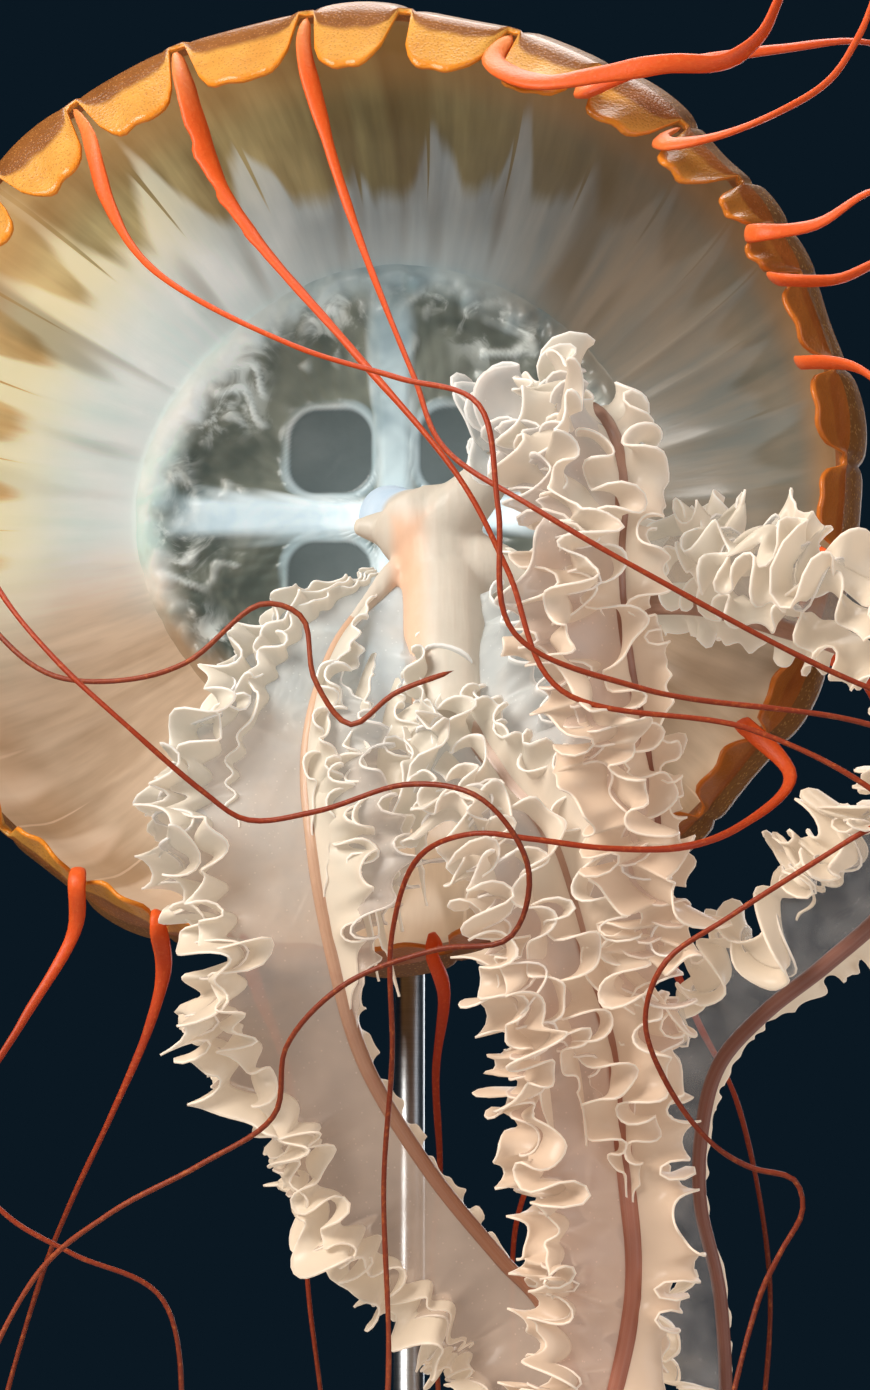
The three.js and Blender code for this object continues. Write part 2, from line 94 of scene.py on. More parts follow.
def smooth_line(points, count):
    """Evenly spaced points on a centripetal Catmull-Rom line."""
    p = np.asarray(points, float)
    p = np.vstack([2 * p[0] - p[1], p, 2 * p[-1] - p[-2]])
    fine = []
    for p0, p1, p2, p3 in zip(p, p[1:], p[2:], p[3:]):
        d0, d1, d2 = (
            max(math.sqrt(np.linalg.norm(b - a)), 1e-4)
            for a, b in ((p0, p1), (p1, p2), (p2, p3))
        )
        leave = d1 * ((p1 - p0) / d0 - (p2 - p0) / (d0 + d1) + (p2 - p1) / d1)
        arrive = d1 * ((p2 - p1) / d1 - (p3 - p1) / (d1 + d2) + (p3 - p2) / d2)
        w = column(np.arange(40) / 40)
        fine.append(
            p1
            + leave * w
            + (-3 * p1 + 3 * p2 - 2 * leave - arrive) * w**2
            + (2 * p1 - 2 * p2 + leave + arrive) * w**3
        )
    fine = np.vstack([*fine, p[-2]])
    run = np.concatenate([[0], np.cumsum(np.linalg.norm(np.diff(fine, axis=0), axis=1))])
    even = np.linspace(0, run[-1], count)
    return np.stack([np.interp(even, run, fine[:, k]) for k in range(3)], axis=-1), run[-1]


def directions(line):
    return unit(np.gradient(line, axis=0))


def carried_sides(line, first):
    """A side direction that slides along the line without twisting."""
    sides, side = [], np.asarray(first, float)
    for along in directions(line):
        side = unit(side - along * (side @ along))
        sides.append(side)
    return np.array(sides)


def at(table, t):
    """The rows of a table at shares t of its length."""
    spots = np.clip(t, 0, 1) * (len(table) - 1)
    low = np.minimum(spots.astype(int), len(table) - 2)
    w = spots - low
    if table.ndim > 1:
        w = column(w)
    return table[low] * (1 - w) + table[low + 1] * w


# How far a hanging end carries on its own way, and the step between its places on the way down.
DRIFT, DROP_STEP = 16, 46


def hang_on(route, tip, sway, phase):
    """The route, carried on under gravity to a tip height above the floor."""
    points = [np.array(p, float) for p in route]
    last, before = points[-1].copy(), points[-2]
    drop = BELL_HEIGHT - last @ DOWN - tip
    if drop <= 0:
        return points
    drift = unit(last - before) * DRIFT
    count = max(2, int(drop / DROP_STEP + 0.5))
    for i in range(1, count + 1):
        carried = 1 - math.exp(-2 * i)
        p = last + DOWN * (drop * i / count) + drift * carried - DOWN * (drift @ DOWN) * carried
        p[0] += sway * (math.sin(phase + 1.25 * i) - math.sin(phase))
        p[2] += 0.6 * sway * (math.cos(phase + 1.05 * i) - math.cos(phase))
        points.append(p)
    return points


# ---------------------------------------------------------------- bell coordinates

RIM_WIDE, RIM_TALL, RIM_DEPTH = 130, 124, 36
OPENING = unit([-0.1925, 0.06, 0.979])
ACROSS = unit(np.cross([0, 1, 0], OPENING))
UPWARD = np.cross(OPENING, ACROSS)
TOP_CLEFTS = [138, 124.7, 110.3, 94.1, 82.6, 69.4, 58, 46.3, 37, 30.3, 23.9]
CLEFT_COUNT = 32


def from_bell(u, v, w):
    return np.array([-2.0, 0, 0]) + column(u) * ACROSS + column(v) * UPWARD + column(w) * OPENING


def bell_point(angle, radius, depth):
    angle, radius, depth = np.broadcast_arrays(angle, radius, depth)
    return from_bell(RIM_WIDE * radius * np.cos(angle), RIM_TALL * radius * np.sin(angle), depth)


def lappet_point(angle, distance, side):
    curl = np.radians(42 + 20 * np.cos(angle - math.radians(125)))
    inward = distance * np.sin(curl) - side * np.cos(curl)
    forward = distance * np.cos(curl) + side * np.sin(curl)
    return bell_point(angle, 0.965 - inward / RIM_TALL, RIM_DEPTH + forward)


def cleft_angles():
    last = TOP_CLEFTS[-1]
    rest = CLEFT_COUNT - len(TOP_CLEFTS)
    step = (360 - (TOP_CLEFTS[0] - last)) / (rest + 1)
    return np.radians(TOP_CLEFTS + [last - i * step for i in range(1, rest + 1)])


CLEFTS = cleft_angles()

# ---------------------------------------------------------------- mesh making


def add_object(name, data):
    made = bpy.data.objects.new(name, data)
    bpy.context.collection.objects.link(made)
    return made


def mesh_of(bm, name):
    """The bmesh as a mesh. The bmesh itself is used up."""
    mesh = bpy.data.meshes.new(name)
    bm.to_mesh(mesh)
    bm.free()
    return mesh


class Piece:
    """One finished object, gathered from bmeshes in the animal's frame."""

    def __init__(self, name, materials):
        self.name, self.materials, self.gathered = name, materials, bmesh.new()

    def add(self, bm, look=0, own_frame=True):
        for face in bm.faces:
            face.material_index = look
            face.smooth = True
        if own_frame:
            for vert, spot in zip(bm.verts, place([v.co for v in bm.verts])):
                vert.co = spot
        part = mesh_of(bm, "part")
        self.gathered.from_mesh(part)
        bpy.data.meshes.remove(part)

    def finish(self, slot, *nodes):
        """Makes the object, with the CAD nodes that it stands for hidden. The slot is not used."""
        piece = add_object(self.name, mesh_of(self.gathered, self.name))
        for material in self.materials:
            piece.data.materials.append(material)
        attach(piece, "root")
        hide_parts(*nodes)
        return piece


def grid(columns, rows, shape, marks=None):
    """A grid whose points shape(u, v) places, with u and v from 0 to 1 also its UV map.

    Each of the marks is a function of u and v as well, kept on the points for the materials.
    """
    bm = bmesh.new()
    bm.loops.layers.uv.new("UVMap")
    bmesh.ops.create_grid(bm, x_segments=columns, y_segments=rows, size=0.5, calc_uvs=True)
    spots = np.array([v.co for v in bm.verts])[:, :2]
    u, v = ((spots - spots.min(0)) / (spots.max(0) - spots.min(0))).T
    for vert, point in zip(bm.verts, shape(u, v)):
        vert.co = point
    for name, mark in (marks or {}).items():
        layer = bm.verts.layers.float.new(name)
        for vert, value in zip(bm.verts, mark(u, v)):
            vert[layer] = value
    bmesh.ops.remove_doubles(bm, verts=bm.verts, dist=1e-4)
    bmesh.ops.recalc_face_normals(bm, faces=bm.faces)
    return bm


def with_modifiers(bm, set_up):
    """A bmesh with the modifiers that set_up adds, in place of the bare one."""
    mesh = mesh_of(bm, "bare")
    carrier = add_object("carrier", mesh)
    set_up(carrier.modifiers)
    finished = bpy.data.meshes.new_from_object(
        carrier.evaluated_get(bpy.context.evaluated_depsgraph_get())
    )
    made = bmesh.new()
    made.from_mesh(finished)
    bpy.data.objects.remove(carrier)
    for used in (mesh, finished):
        bpy.data.meshes.remove(used)
    return made


def thicken(bm, thickness):
    """A sheet with its wall, half on each side."""

    def set_up(modifiers):
        wall = modifiers.new("wall", "SOLIDIFY")
        wall.thickness, wall.offset = thickness, 0

    return with_modifiers(bm, set_up)


def blended(bm, cell, passes):
    """Overlapping closed bodies made one smooth body."""

    def set_up(modifiers):
        merge = modifiers.new("merge", "REMESH")
        merge.mode, merge.voxel_size = "VOXEL", cell
        soften = modifiers.new("soften", "SMOOTH")
        soften.factor, soften.iterations = 0.5, passes

    return with_modifiers(bm, set_up)


def tube(line, sides, wide, thick, around, rows, roll=None, wave=None):
    """A closed tube on a line: wide and thick are tables of its half sizes along it."""
    along = directions(line)
    outs = np.cross(sides, along)

    def shape(u, v):
        turn = 2 * math.pi * u
        ends = np.sqrt(np.clip(np.minimum(v, 1 - v) * rows / 1.5, 0, 1))
        a = at(wide, v) * ends * np.cos(turn)
        b = at(thick, v) * ends * np.sin(turn)
        if wave is not None:
            a = a * (1 + wave(u, v))
        twist = 0 * v if roll is None else at(roll, v)
        c, s = np.cos(twist), np.sin(twist)
        return (
            at(line, v)
            + column(a * c - b * s) * at(sides, v)
            + column(a * s + b * c) * at(outs, v)
        )

    return grid(around, rows, shape)


# ---------------------------------------------------------------- materials


def paint(red, green, blue):
    """A colour from its screen values, 0 to 255."""
    return tuple(
        c / 12.92 if c <= 0.04045 else ((c + 0.055) / 1.055) ** 2.4
        for c in (red / 255, green / 255, blue / 255)
    ) + (1.0,)


BACKGROUND = (11, 24, 34)


class Wire:
    """A shader socket that Python sums work on."""

    def __init__(self, finish, socket):
        self.finish, self.socket = finish, socket

    def math(self, operation, *values):
        settings = {"operation": operation}
        return self.finish.node("ShaderNodeMath", settings, dict(enumerate(values)))

    def __add__(self, other):
        return self.math("ADD", self, other)

    def __sub__(self, other):
        return self.math("SUBTRACT", self, other)

    def __rsub__(self, other):
        return self.math("SUBTRACT", other, self)

    def __mul__(self, other):
        return self.math("MULTIPLY", self, other)

    def __truediv__(self, other):
        return self.math("DIVIDE", self, other)

    def __pow__(self, other):
        return self.math("POWER", self, other)

    __radd__, __rmul__ = __add__, __mul__

    def size(self):
        return self.math("ABSOLUTE", self)

    def upto(self, other):
        return self.math("MINIMUM", self, other)

    def least(self, other):
        return self.math("MAXIMUM", self, other)


class Finish:
    """One material, built from nodes."""

    def __init__(self, name, **constants):
        self.material = bpy.data.materials.new(name)
        self.material.use_nodes = True
        self.tree = self.material.node_tree
        self.shader = self.tree.nodes["Principled BSDF"]
        for label, value in constants.items():
            self.shader.inputs[label.replace("_", " ")].default_value = value

    def node(self, kind, settings, inputs, output=0):
        """A new node with its settings and inputs, as a wire from one of its outputs."""
        node = self.tree.nodes.new(kind)
        for label, value in settings.items():
            if label == "stops":
                ramp = node.color_ramp
                while len(ramp.elements) < len(value):
                    ramp.elements.new(0.5)
                for element, (position, colour) in zip(ramp.elements, value):
                    element.position, element.color = position, paint(*colour)
            else:
                setattr(node, label, value)
        for label, value in inputs.items():
            self.set(node.inputs[label], value)
        return Wire(self, node.outputs[output])

    def set(self, socket, value):
        """Links a wire, or sets a constant, where a colour is given by its screen values."""
        if isinstance(value, Wire):
            self.tree.links.new(value.socket, socket)
        else:
            socket.default_value = paint(*value) if socket.type == "RGBA" else value

    def feed(self, **sockets):
        for label, value in sockets.items():
            self.set(self.shader.inputs[label.replace("_", " ")], value)

    def mix(self, share, first, second, way="MIX"):
        return self.node(
            "ShaderNodeMix",
            {"data_type": "RGBA", "blend_type": way},
            {0: share, 6: first, 7: second},
            2,
        )

    def step(self, value, low, high):
        return self.node(
            "ShaderNodeMapRange",
            {"interpolation_type": "SMOOTHSTEP"},
            {"Value": value, "From Min": low, "From Max": high},
        )

    def noise(self, vector, scale, detail=2.0, roughness=0.5, distortion=0.0):
        inputs = {"Vector": vector, "Scale": scale, "Detail": detail}
        inputs |= {"Roughness": roughness, "Distortion": distortion}
        return self.node("ShaderNodeTexNoise", {}, inputs)

    def cells(self, vector, scale):
        return self.node("ShaderNodeTexVoronoi", {}, {"Vector": vector, "Scale": scale})

    def place(self):
        return self.node("ShaderNodeTexCoord", {}, {}, "Object")

    def mark(self, name):
        return self.node("ShaderNodeAttribute", {"attribute_name": name}, {}, "Fac")

    def parts(self, vector):
        return [self.node("ShaderNodeSeparateXYZ", {}, {0: vector}, k) for k in range(3)]

    def uv(self):
        return self.parts(self.node("ShaderNodeUVMap", {"uv_map": "UVMap"}, {}))[:2]

    def stretched(self, scale):
        """The object's own coordinates, stretched for streaks."""
        return self.node("ShaderNodeMapping", {}, {"Vector": self.place(), "Scale": scale})

    def vector(self, x, y, z):
        return self.node("ShaderNodeCombineXYZ", {}, {0: x, 1: y, 2: z})

    def bump(self, height, strength, distance):
        inputs = {"Height": height, "Strength": strength, "Distance": distance}
        self.feed(Normal=self.node("ShaderNodeBump", {}, inputs))

    def let_through(self, share, colour):
        """Mixes in light that comes through from behind."""
        through = self.node("ShaderNodeBsdfTranslucent", {}, {"Color": colour})
        own = Wire(self, self.shader.outputs[0])
        mixed = self.node("ShaderNodeMixShader", {}, {0: share, 1: own, 2: through})
        self.set(self.tree.nodes["Material Output"].inputs["Surface"], mixed)


def jelly(name, roughness=0.32, **constants):
    return Finish(name, Roughness=roughness, IOR=1.36, **constants)


def inner_tones(f, u, v, soft, clouds):
    """The pale tones of the bell's inside by their way (u, v) out, and its three zones: the left
    painted paler as lit, the right painted darker as shade, the low one browner.
    """
    # Painted light and shade: left marks the paler, lit side and right the darker, shaded side.
    left = f.step(u * -1 + (clouds - 0.5) * 0.5, 0.1, 0.9)
    low = f.step(v * -1 + (clouds - 0.5) * 0.4, 0.0, 0.5)
    right = f.step(u + (clouds - 0.5) * 0.4, 0.0, 0.7)
    tone = f.mix(soft, (142, 166, 176), (202, 220, 222))
    tone = f.mix(left, tone, f.mix(soft, (218, 240, 232), (255, 255, 250)))
    tone = f.mix(right, tone, f.mix(soft, (104, 114, 112), (146, 134, 118)))
    tone = f.mix(low, tone, f.mix(soft, (160, 132, 104), (220, 194, 166)))
    return tone, left, low, right


def make_subumbrella():
    """The inside of the bell: pale streaks inside a starry edge, and olive by the rim, with painted
    light: paler and warmer on the lit left, darker on the shaded right, and glowing.
    """
    f = jelly("subumbrella jelly", Coat_Weight=0.2, Coat_Roughness=0.18)
    u, v, radius = f.mark("bell_u"), f.mark("bell_v"), f.mark("bell_radius")
    toward_u, toward_v = u / radius.least(0.02), v / radius.least(0.02)
    around = f.vector(toward_u, toward_v, radius * 0.2)
    fine = f.noise(around, 20.0, 3.0, 0.55)
    broad = f.step(f.noise(around, 7.5, 2.0, 0.5), 0.25, 0.75)
    clouds = f.noise(f.place(), 22.0, 3.0, 0.55)
    lobe = f.mark("lappet_share")
    peak = (2 * lobe - 1).size()
    soft = f.step(fine * 0.5 + clouds * 0.5, 0.24, 0.76)
    pale, left, low, right = inner_tones(f, toward_u, toward_v, soft, clouds)
    # Painted light: a warm glow on the outer left, and a pale painted glow (halo) round the gonad
    # disc on the lit side.
    warm = f.step(radius, 0.66, 0.84) * left * (1 - low)
    pale = f.mix(warm * 0.8, pale, (255, 240, 184))
    halo = (1 - f.step(radius + (soft - 0.5) * 0.06, 0.56, 0.68)) * (1 - right) * (1 - low)
    pale = f.mix(halo * 0.4, pale, (214, 232, 236))

    olive = f.mix(soft, (78, 86, 64), (166, 162, 116))
    # The olive ring is painted lighter and warmer towards the left, where the light falls, and
    # darker at right as painted shade.
    leftward = toward_u * -1 + (clouds - 0.5) * 0.3
    lit_far_left = f.step(leftward, 0.72, 0.96)
    olive = f.mix(f.step(leftward, 0.0, 0.4), olive, f.mix(soft, (104, 90, 56), (208, 194, 140)))
    olive = f.mix(lit_far_left, olive, f.mix(soft, (214, 172, 110), (252, 224, 160)))
    olive = f.mix(right, olive, f.mix(soft, (90, 94, 86), (134, 122, 106)))
    olive = f.mix(low, olive, f.mix(soft, (208, 176, 146), (248, 228, 204)))
    reach = 0.69 + f.step(peak, 0.1, 1.0) * broad * 0.24
    reach = reach + left * 0.1 + low * 0.12 + right * 0.08 + (fine - 0.5) * 0.05
    starry = f.step(radius - reach, -0.02, 0.035)
    colour = f.mix(starry, pale, olive)
    top = f.step(toward_v - toward_u * 0.2, 0.1, 0.7)
    rays = f.noise(around, 9.0, 1.0, 0.4)
    dark_lines = f.step(rays, 0.54, 0.68) * f.step(radius, 0.5, 0.66)
    colour = f.mix(dark_lines * (0.06 + 0.46 * top), colour, (84, 76, 52))
    rim = f.step(radius, 0.86, 0.94)
    amber = f.mix(clouds, (140, 86, 36), (214, 148, 72))
    colour = f.mix(rim * (0.5 - low * 0.2), colour, amber)
    # The emission is a painted glow, strongest on the lit left.
    f.feed(
        Base_Color=colour,
        Emission_Color=f.mix((0.65 - left * 0.6 - low * 0.1).least(0.0), colour, (0, 0, 0)),
        Emission_Strength=0.7,
    )
    f.bump(fine * 0.6 + broad * 0.3, 0.2, 0.0015)
    f.let_through(0.3, (190, 182, 160))
    return f.material


def make_exumbrella():
    """The outside of the bell: amber, finely grained, with darker rays towards the rim."""
    f = jelly("exumbrella jelly", roughness=0.5, Coat_Weight=0.04, Coat_Roughness=0.25)
    u, v, radius = f.mark("bell_u"), f.mark("bell_v"), f.mark("bell_radius")
    around = f.vector(u / radius.least(0.02), v / radius.least(0.02), radius * 0.4)
    streaks = f.noise(around, 18.0, 3.0, 0.6)
    grains = f.cells(f.place(), 900.0)
    mottle = f.noise(f.place(), 60.0, 4.0, 0.6)
    lobe = f.mark("lappet_share")
    peak = (2 * lobe - 1).size()
    colour = f.mix(streaks, (150, 92, 40), (214, 156, 88))
    heart = 1 - f.step(radius + (mottle - 0.5) * 0.15, 0.18, 0.62)
    colour = f.mix(heart * 0.75, colour, (216, 190, 150))
    ray = f.step(peak + (streaks - 0.5) * 0.4, 0.6, 0.95) * f.step(radius, 0.3, 0.8)
    colour = f.mix(ray * 0.55, colour, (112, 56, 24))
    rim = f.step(radius, 0.9, 0.985)
    colour = f.mix(rim * 0.8, colour, f.mix(mottle, (66, 42, 20), (128, 84, 42)))
    speck = 1 - f.step(grains, 0.12, 0.38)
    colour = f.mix(speck * (0.25 + 0.45 * rim), colour, (224, 168, 92))
    f.feed(Base_Color=colour)
    f.bump(speck * 0.5 + mottle + streaks, 0.3, 0.0012)
    f.let_through(0.3, (178, 122, 62))
    return f.material


def make_lappets():
    """The lappets: dark and grained at their root, then golden, stippled, with an orange margin;
    painted darker as shade on the far side, with a painted glow.
    """
    f = jelly("lappet jelly", roughness=0.34, Coat_Weight=0.3, Coat_Roughness=0.15)
    u, v, run = f.mark("bell_u"), f.mark("bell_v"), f.mark("lappet_run")
    lobe = f.mark("lappet_share")
    mottle = f.noise(f.place(), 90.0, 3.0, 0.6)
    dots = f.cells(f.place(), 1300.0)
    side = (2 * lobe - 1).size()
    # Painted shade: the lappets on the far side, right and low, away from the light.
    shaded_side = f.step(u - v * 0.6 + (mottle - 0.5) * 0.3, -0.1, 0.7)
    edge = f.step(run + side**6 * 0.3, 0.84, 0.97)
    gold = f.mix(mottle, (204, 132, 50), (248, 192, 94))
    gold = f.mix((1 - f.step(dots, 0.15, 0.4)) * 0.5, gold, (150, 84, 30))
    root = f.mix(mottle, (92, 52, 22), (172, 112, 56))
    root = f.mix((1 - f.step(dots, 0.1, 0.35)) * 0.6, root, (226, 156, 84))
    colour = f.mix(f.step(run + (mottle - 0.5) * 0.12, 0.3, 0.42), root, gold)
    colour = f.mix(edge * 0.9, colour, (250, 150, 40))
    shade_tone = f.mix(edge, f.mix(mottle, (116, 58, 22), (180, 100, 44)), (206, 110, 40))
    colour = f.mix(shaded_side * 0.85, colour, shade_tone)
    # The emission is a painted glow.
    f.feed(Base_Color=colour, Emission_Color=f.mix(0.6, colour, (0, 0, 0)), Emission_Strength=0.3)
    f.bump(mottle + (1 - dots) * 0.4, 0.35, 0.0008)
    f.let_through(0.35, (214, 146, 66))
    return f.material


def make_gonads():
    """The cross, its slate windows and the pale folded ring round them, painted darker on the right
    as shade, with painted highlights on the fold crests and a painted glow.
    """
    f = jelly("gonad jelly", roughness=0.36, Coat_Weight=0.25, Coat_Roughness=0.15)
    window, pane, fold = f.mark("window"), f.mark("pane"), f.mark("fold")
    bar, ring, line = f.mark("bar"), f.mark("ring"), f.mark("frame_line")
    u, v = f.mark("bell_u"), f.mark("bell_v")
    _, out = f.uv()
    clouds = f.noise(f.place(), 55.0, 4.0, 0.6)
    fine = f.noise(f.place(), 240.0, 3.0, 0.6)
    wash = f.step(f.noise(f.place(), 34.0, 3.0, 0.6, 0.6), 0.34, 0.64)
    tone, left, _, right = inner_tones(f, u, v, wash, clouds)
    pale = f.mix(wash, (176, 208, 210), (252, 255, 252))
    # Painted shade: the right side darker.
    pale = f.mix(right * 0.8, pale, f.mix(wash, (112, 124, 128), (204, 212, 208)))
    colour = f.mix(window, pale, f.mix(wash, (84, 94, 86), (150, 156, 142)))
    colour = f.mix(window * right * 0.6, colour, f.mix(wash, (62, 66, 58), (116, 120, 112)))
    colour = f.mix(pane, colour, f.mix(clouds, (76, 90, 94), (120, 132, 132)))
    colour = f.mix(line * 0.5, colour, (168, 194, 204))
    up = f.step(v, 0.1, 0.8)
    cross = f.mix(fine * 0.4 + wash * 0.6, (180, 208, 222), (250, 255, 255))
    cross = f.mix(up * 0.8, cross, f.mix(wash, (132, 160, 170), (206, 226, 228)))
    colour = f.mix(bar, colour, cross)
    # The white crests and wisps are partly the folds' own white and partly painted highlight.
    wisps = f.step(f.noise(f.place(), 75.0, 4.0, 0.62, 1.4), 0.48, 0.66) * f.mark("outward")
    crest = (fold * wash * 0.7 + wisps).upto(1.0)
    colour = f.mix(crest * 0.95, colour, (252, 252, 240))
    edge = f.step(out + (clouds - 0.5) * 0.1, 0.82, 0.95)
    colour = f.mix(edge, colour, tone)
    # The emitted glow (shine) is painted light, weaker towards the right and the top.
    shine = bar * (0.7 + wash * 0.3 - right * 0.25 - up * 0.45)
    shine = shine + ring * (0.45 + 0.4 * wash - right * 0.3)
    shine = (shine + line * 0.3 + crest * 0.6).upto(1.0) * (1 - edge)
    glow = f.mix(shine, (44, 52, 52), (196, 218, 226))
    f.feed(
        Base_Color=colour,
        Emission_Color=f.mix(edge * (0.3 + left * 0.5), glow, tone),
        Emission_Strength=0.6,
    )
    f.bump(clouds + fine * 0.3, 0.3, 0.001)
    f.let_through(0.2, (150, 164, 160))
    return f.material


def make_flesh(name, upper, lower, glow):
    """Smooth flesh of the throat and midribs, from pale and warm to reddish."""
    f = jelly(name, roughness=0.34, Coat_Weight=0.4, Coat_Roughness=0.15)
    around, along = f.uv()
    stripes = f.noise(f.vector(around * 3, along * 0.4, 0.0), 9.0, 3.0, 0.6)
    clouds = f.noise(f.place(), 110.0, 4.0, 0.6)
    colour = f.mix(f.step(along + (clouds - 0.5) * 0.1, 0.08, 0.36), upper, lower)
    colour = f.mix(stripes * 0.4, colour, (238, 206, 182))
    colour = f.mix(f.step(clouds, 0.55, 0.8) * 0.3, colour, (190, 110, 86))
    f.feed(Base_Color=colour, Emission_Color=glow, Emission_Strength=0.12)
    f.bump(stripes + clouds * 0.5, 0.3, 0.001)
    f.let_through(0.3, lower)
    return f.material


def make_throat():
    """The throat: blue-white where it leaves the bell, with a painted glow there; peach down its
    left side and pale at right, painted light from the left on its own peach.
    """
    f = jelly("throat flesh", roughness=0.46, Coat_Weight=0.12, Coat_Roughness=0.25)
    x, y, z = f.parts(f.place())
    clouds = f.noise(f.place(), 90.0, 4.0, 0.6)
    stripes = f.noise(f.stretched((400.0, 60.0, 60.0)), 1.0)
    # Painted light and shade: the side-to-side split stands in for light coming from the left.
    right = f.step(x + (clouds - 0.5) * 0.006, 0.0095, 0.0165)
    right = right.least(f.step(z + (clouds - 0.5) * 0.004, 0.572, 0.58))
    right = right.least(1 - f.step(x, 0.003, 0.007))
    colour = f.mix(clouds, (228, 174, 138), (246, 206, 174))
    colour = f.mix(right, colour, f.mix(clouds, (196, 192, 178), (226, 222, 208)))
    colour = f.mix(stripes * 0.3, colour, (255, 226, 204))
    deep = f.step(y + (clouds - 0.5) * 0.01, -0.012, 0.0)
    colour = f.mix(deep * 0.85, colour, f.mix(clouds, (176, 206, 228), (236, 246, 252)))
    # The emission is a painted glow, bluish where the throat leaves the bell.
    f.feed(
        Base_Color=colour,
        Emission_Color=f.mix(deep, f.mix(0.8, colour, (0, 0, 0)), (120, 160, 196)),
        Emission_Strength=0.6,
    )
    f.bump(stripes + clouds * 0.5, 0.3, 0.001)
    f.let_through(0.3, (230, 196, 168))
    return f.material


def make_frill(name, tint, depth, milk):
    """Milky frills: bright margins, clearer sheets with fine pale specks, warmer lower down, and a
    painted glow.
    """
    f = jelly(name, roughness=0.36, Coat_Weight=0.15, Coat_Roughness=0.15)
    along, margin = f.mark("arm_share"), f.mark("margin")
    clouds = f.noise(f.place(), 70.0, 2.0, 0.6)
    rim = 1 - f.step(margin, 0.02, 0.12)
    frill = 1 - f.step(margin + (clouds - 0.5) * 0.2, 0.03, 0.4)
    if milk < 1:
        sheet = f.mix(clouds, (176, 186, 190), (222, 224, 218))
    else:
        sheet = f.mix(clouds, (204, 200, 186), (238, 232, 218))
    sheet = f.mix(frill * 0.5, sheet, f.mix(clouds, (248, 242, 228), (255, 252, 244)))
    warm = f.step(along + (clouds - 0.5) * 0.15, 0.04, 0.27)
    sheet = f.mix(warm * depth, sheet, tint)
    colour = f.mix(rim * 0.85, sheet, f.mix(warm, (255, 253, 248), (250, 232, 212)))
    # The emission is a painted glow that lightens the shade between the folds.
    f.feed(
        Base_Color=f.mix(0.1 - rim * 0.08, colour, (124, 112, 98)),
        Emission_Color=f.mix(0.4 - rim * 0.1, colour, (0, 0, 0)),
        Emission_Strength=0.6,
    )
    if milk < 1:
        speck = 1 - f.step(f.cells(f.place(), 520.0), 0.06, 0.16)
        body = milk + frill * 0.3 + rim * 0.5 + (clouds - 0.5) * 0.4 + speck * 0.2
        body = body.upto(1.0).least(0.0)
        f.feed(Alpha=body)
        f.let_through(body * 0.4, (206, 186, 170))
    else:
        f.let_through(0.42, (236, 218, 198))
    return f.material


def make_tentacle(name, fade):
    """Tentacles: orange-red and broad at the root, dark red-brown and thin further on, with a
    painted glow at the root.
    """
    f = jelly(name, roughness=0.5, Coat_Weight=0.06, Coat_Roughness=0.25)
    around, along = f.uv()
    grains = f.noise(f.place(), 900.0, 3.0, 0.6)
    bands = f.noise(f.vector(along * 60, around * 0.5, 0.0), 5.0, 3.0, 0.6)
    colour = f.node(
        "ShaderNodeValToRGB",
        {
            "stops": [
                (0.0, (236, 150, 84)),
                (0.035, (226, 98, 36)),
                (0.14, (206, 82, 28)),
                (0.26, (154, 60, 26)),
                (0.7, (112, 46, 22)),
                (1.0, (142, 66, 38)),
            ]
        },
        {0: along * fade + (grains - 0.5) * 0.03},
    )
    colour = f.mix(bands * 0.35, colour, (255, 144, 80), "SOFT_LIGHT")
    colour = f.mix(f.step(grains, 0.5, 0.75) * 0.3, colour, (246, 136, 66))
    # The emission is a painted glow, red at the root and fading further on.
    f.feed(
        Base_Color=colour,
        Emission_Color=f.mix(f.step(along, 0.1, 0.4), (200, 40, 10), (20, 2, 0)),
        Emission_Strength=0.15,
    )
    f.bump(grains + bands * 0.5, 0.4, 0.0004)
    f.let_through(0.2, (168, 66, 34))
    return f.material


def make_enamel():
    f = Finish("charcoal enamel", Metallic=0.0, IOR=1.5, Coat_Roughness=0.3)
    grain = f.noise(f.place(), 1500.0, 2.0, 0.6)
    cloud = f.noise(f.place(), 12.0, 3.0, 0.55)
    f.feed(
        Base_Color=f.mix(cloud, (38, 40, 43), (54, 56, 60)),
        Roughness=0.42 + cloud * 0.14,
        Coat_Weight=0.2,
    )
    f.bump(grain, 0.25, 0.0002)
    return f.material


def make_steel():
    f = Finish("brushed steel", Metallic=1.0)
    brush = f.noise(f.stretched((60.0, 60.0, 3000.0)), 1.0)
    f.feed(Base_Color=f.mix(brush, (150, 152, 154), (196, 198, 200)), Roughness=0.24 + brush * 0.16)
    f.bump(brush, 0.12, 0.0001)
    return f.material


def make_floor():
    """A pale floor that fades into the studio's background away from the stand."""
    f = Finish("pale floor", Roughness=0.7, Emission_Strength=1.0)
    away = f.node("ShaderNodeVectorMath", {"operation": "LENGTH"}, {0: f.place()}, 1)
    away = f.step(away, 0.5, 1.35)
    pale = f.mix(f.noise(f.place(), 3.0), (172, 174, 176), (182, 183, 184))
    f.feed(
        Base_Color=f.mix(away, pale, (8, 10, 12)),
        Emission_Color=f.mix(away, (0, 0, 0), BACKGROUND),
    )
    return f.material


# ---------------------------------------------------------------- bell

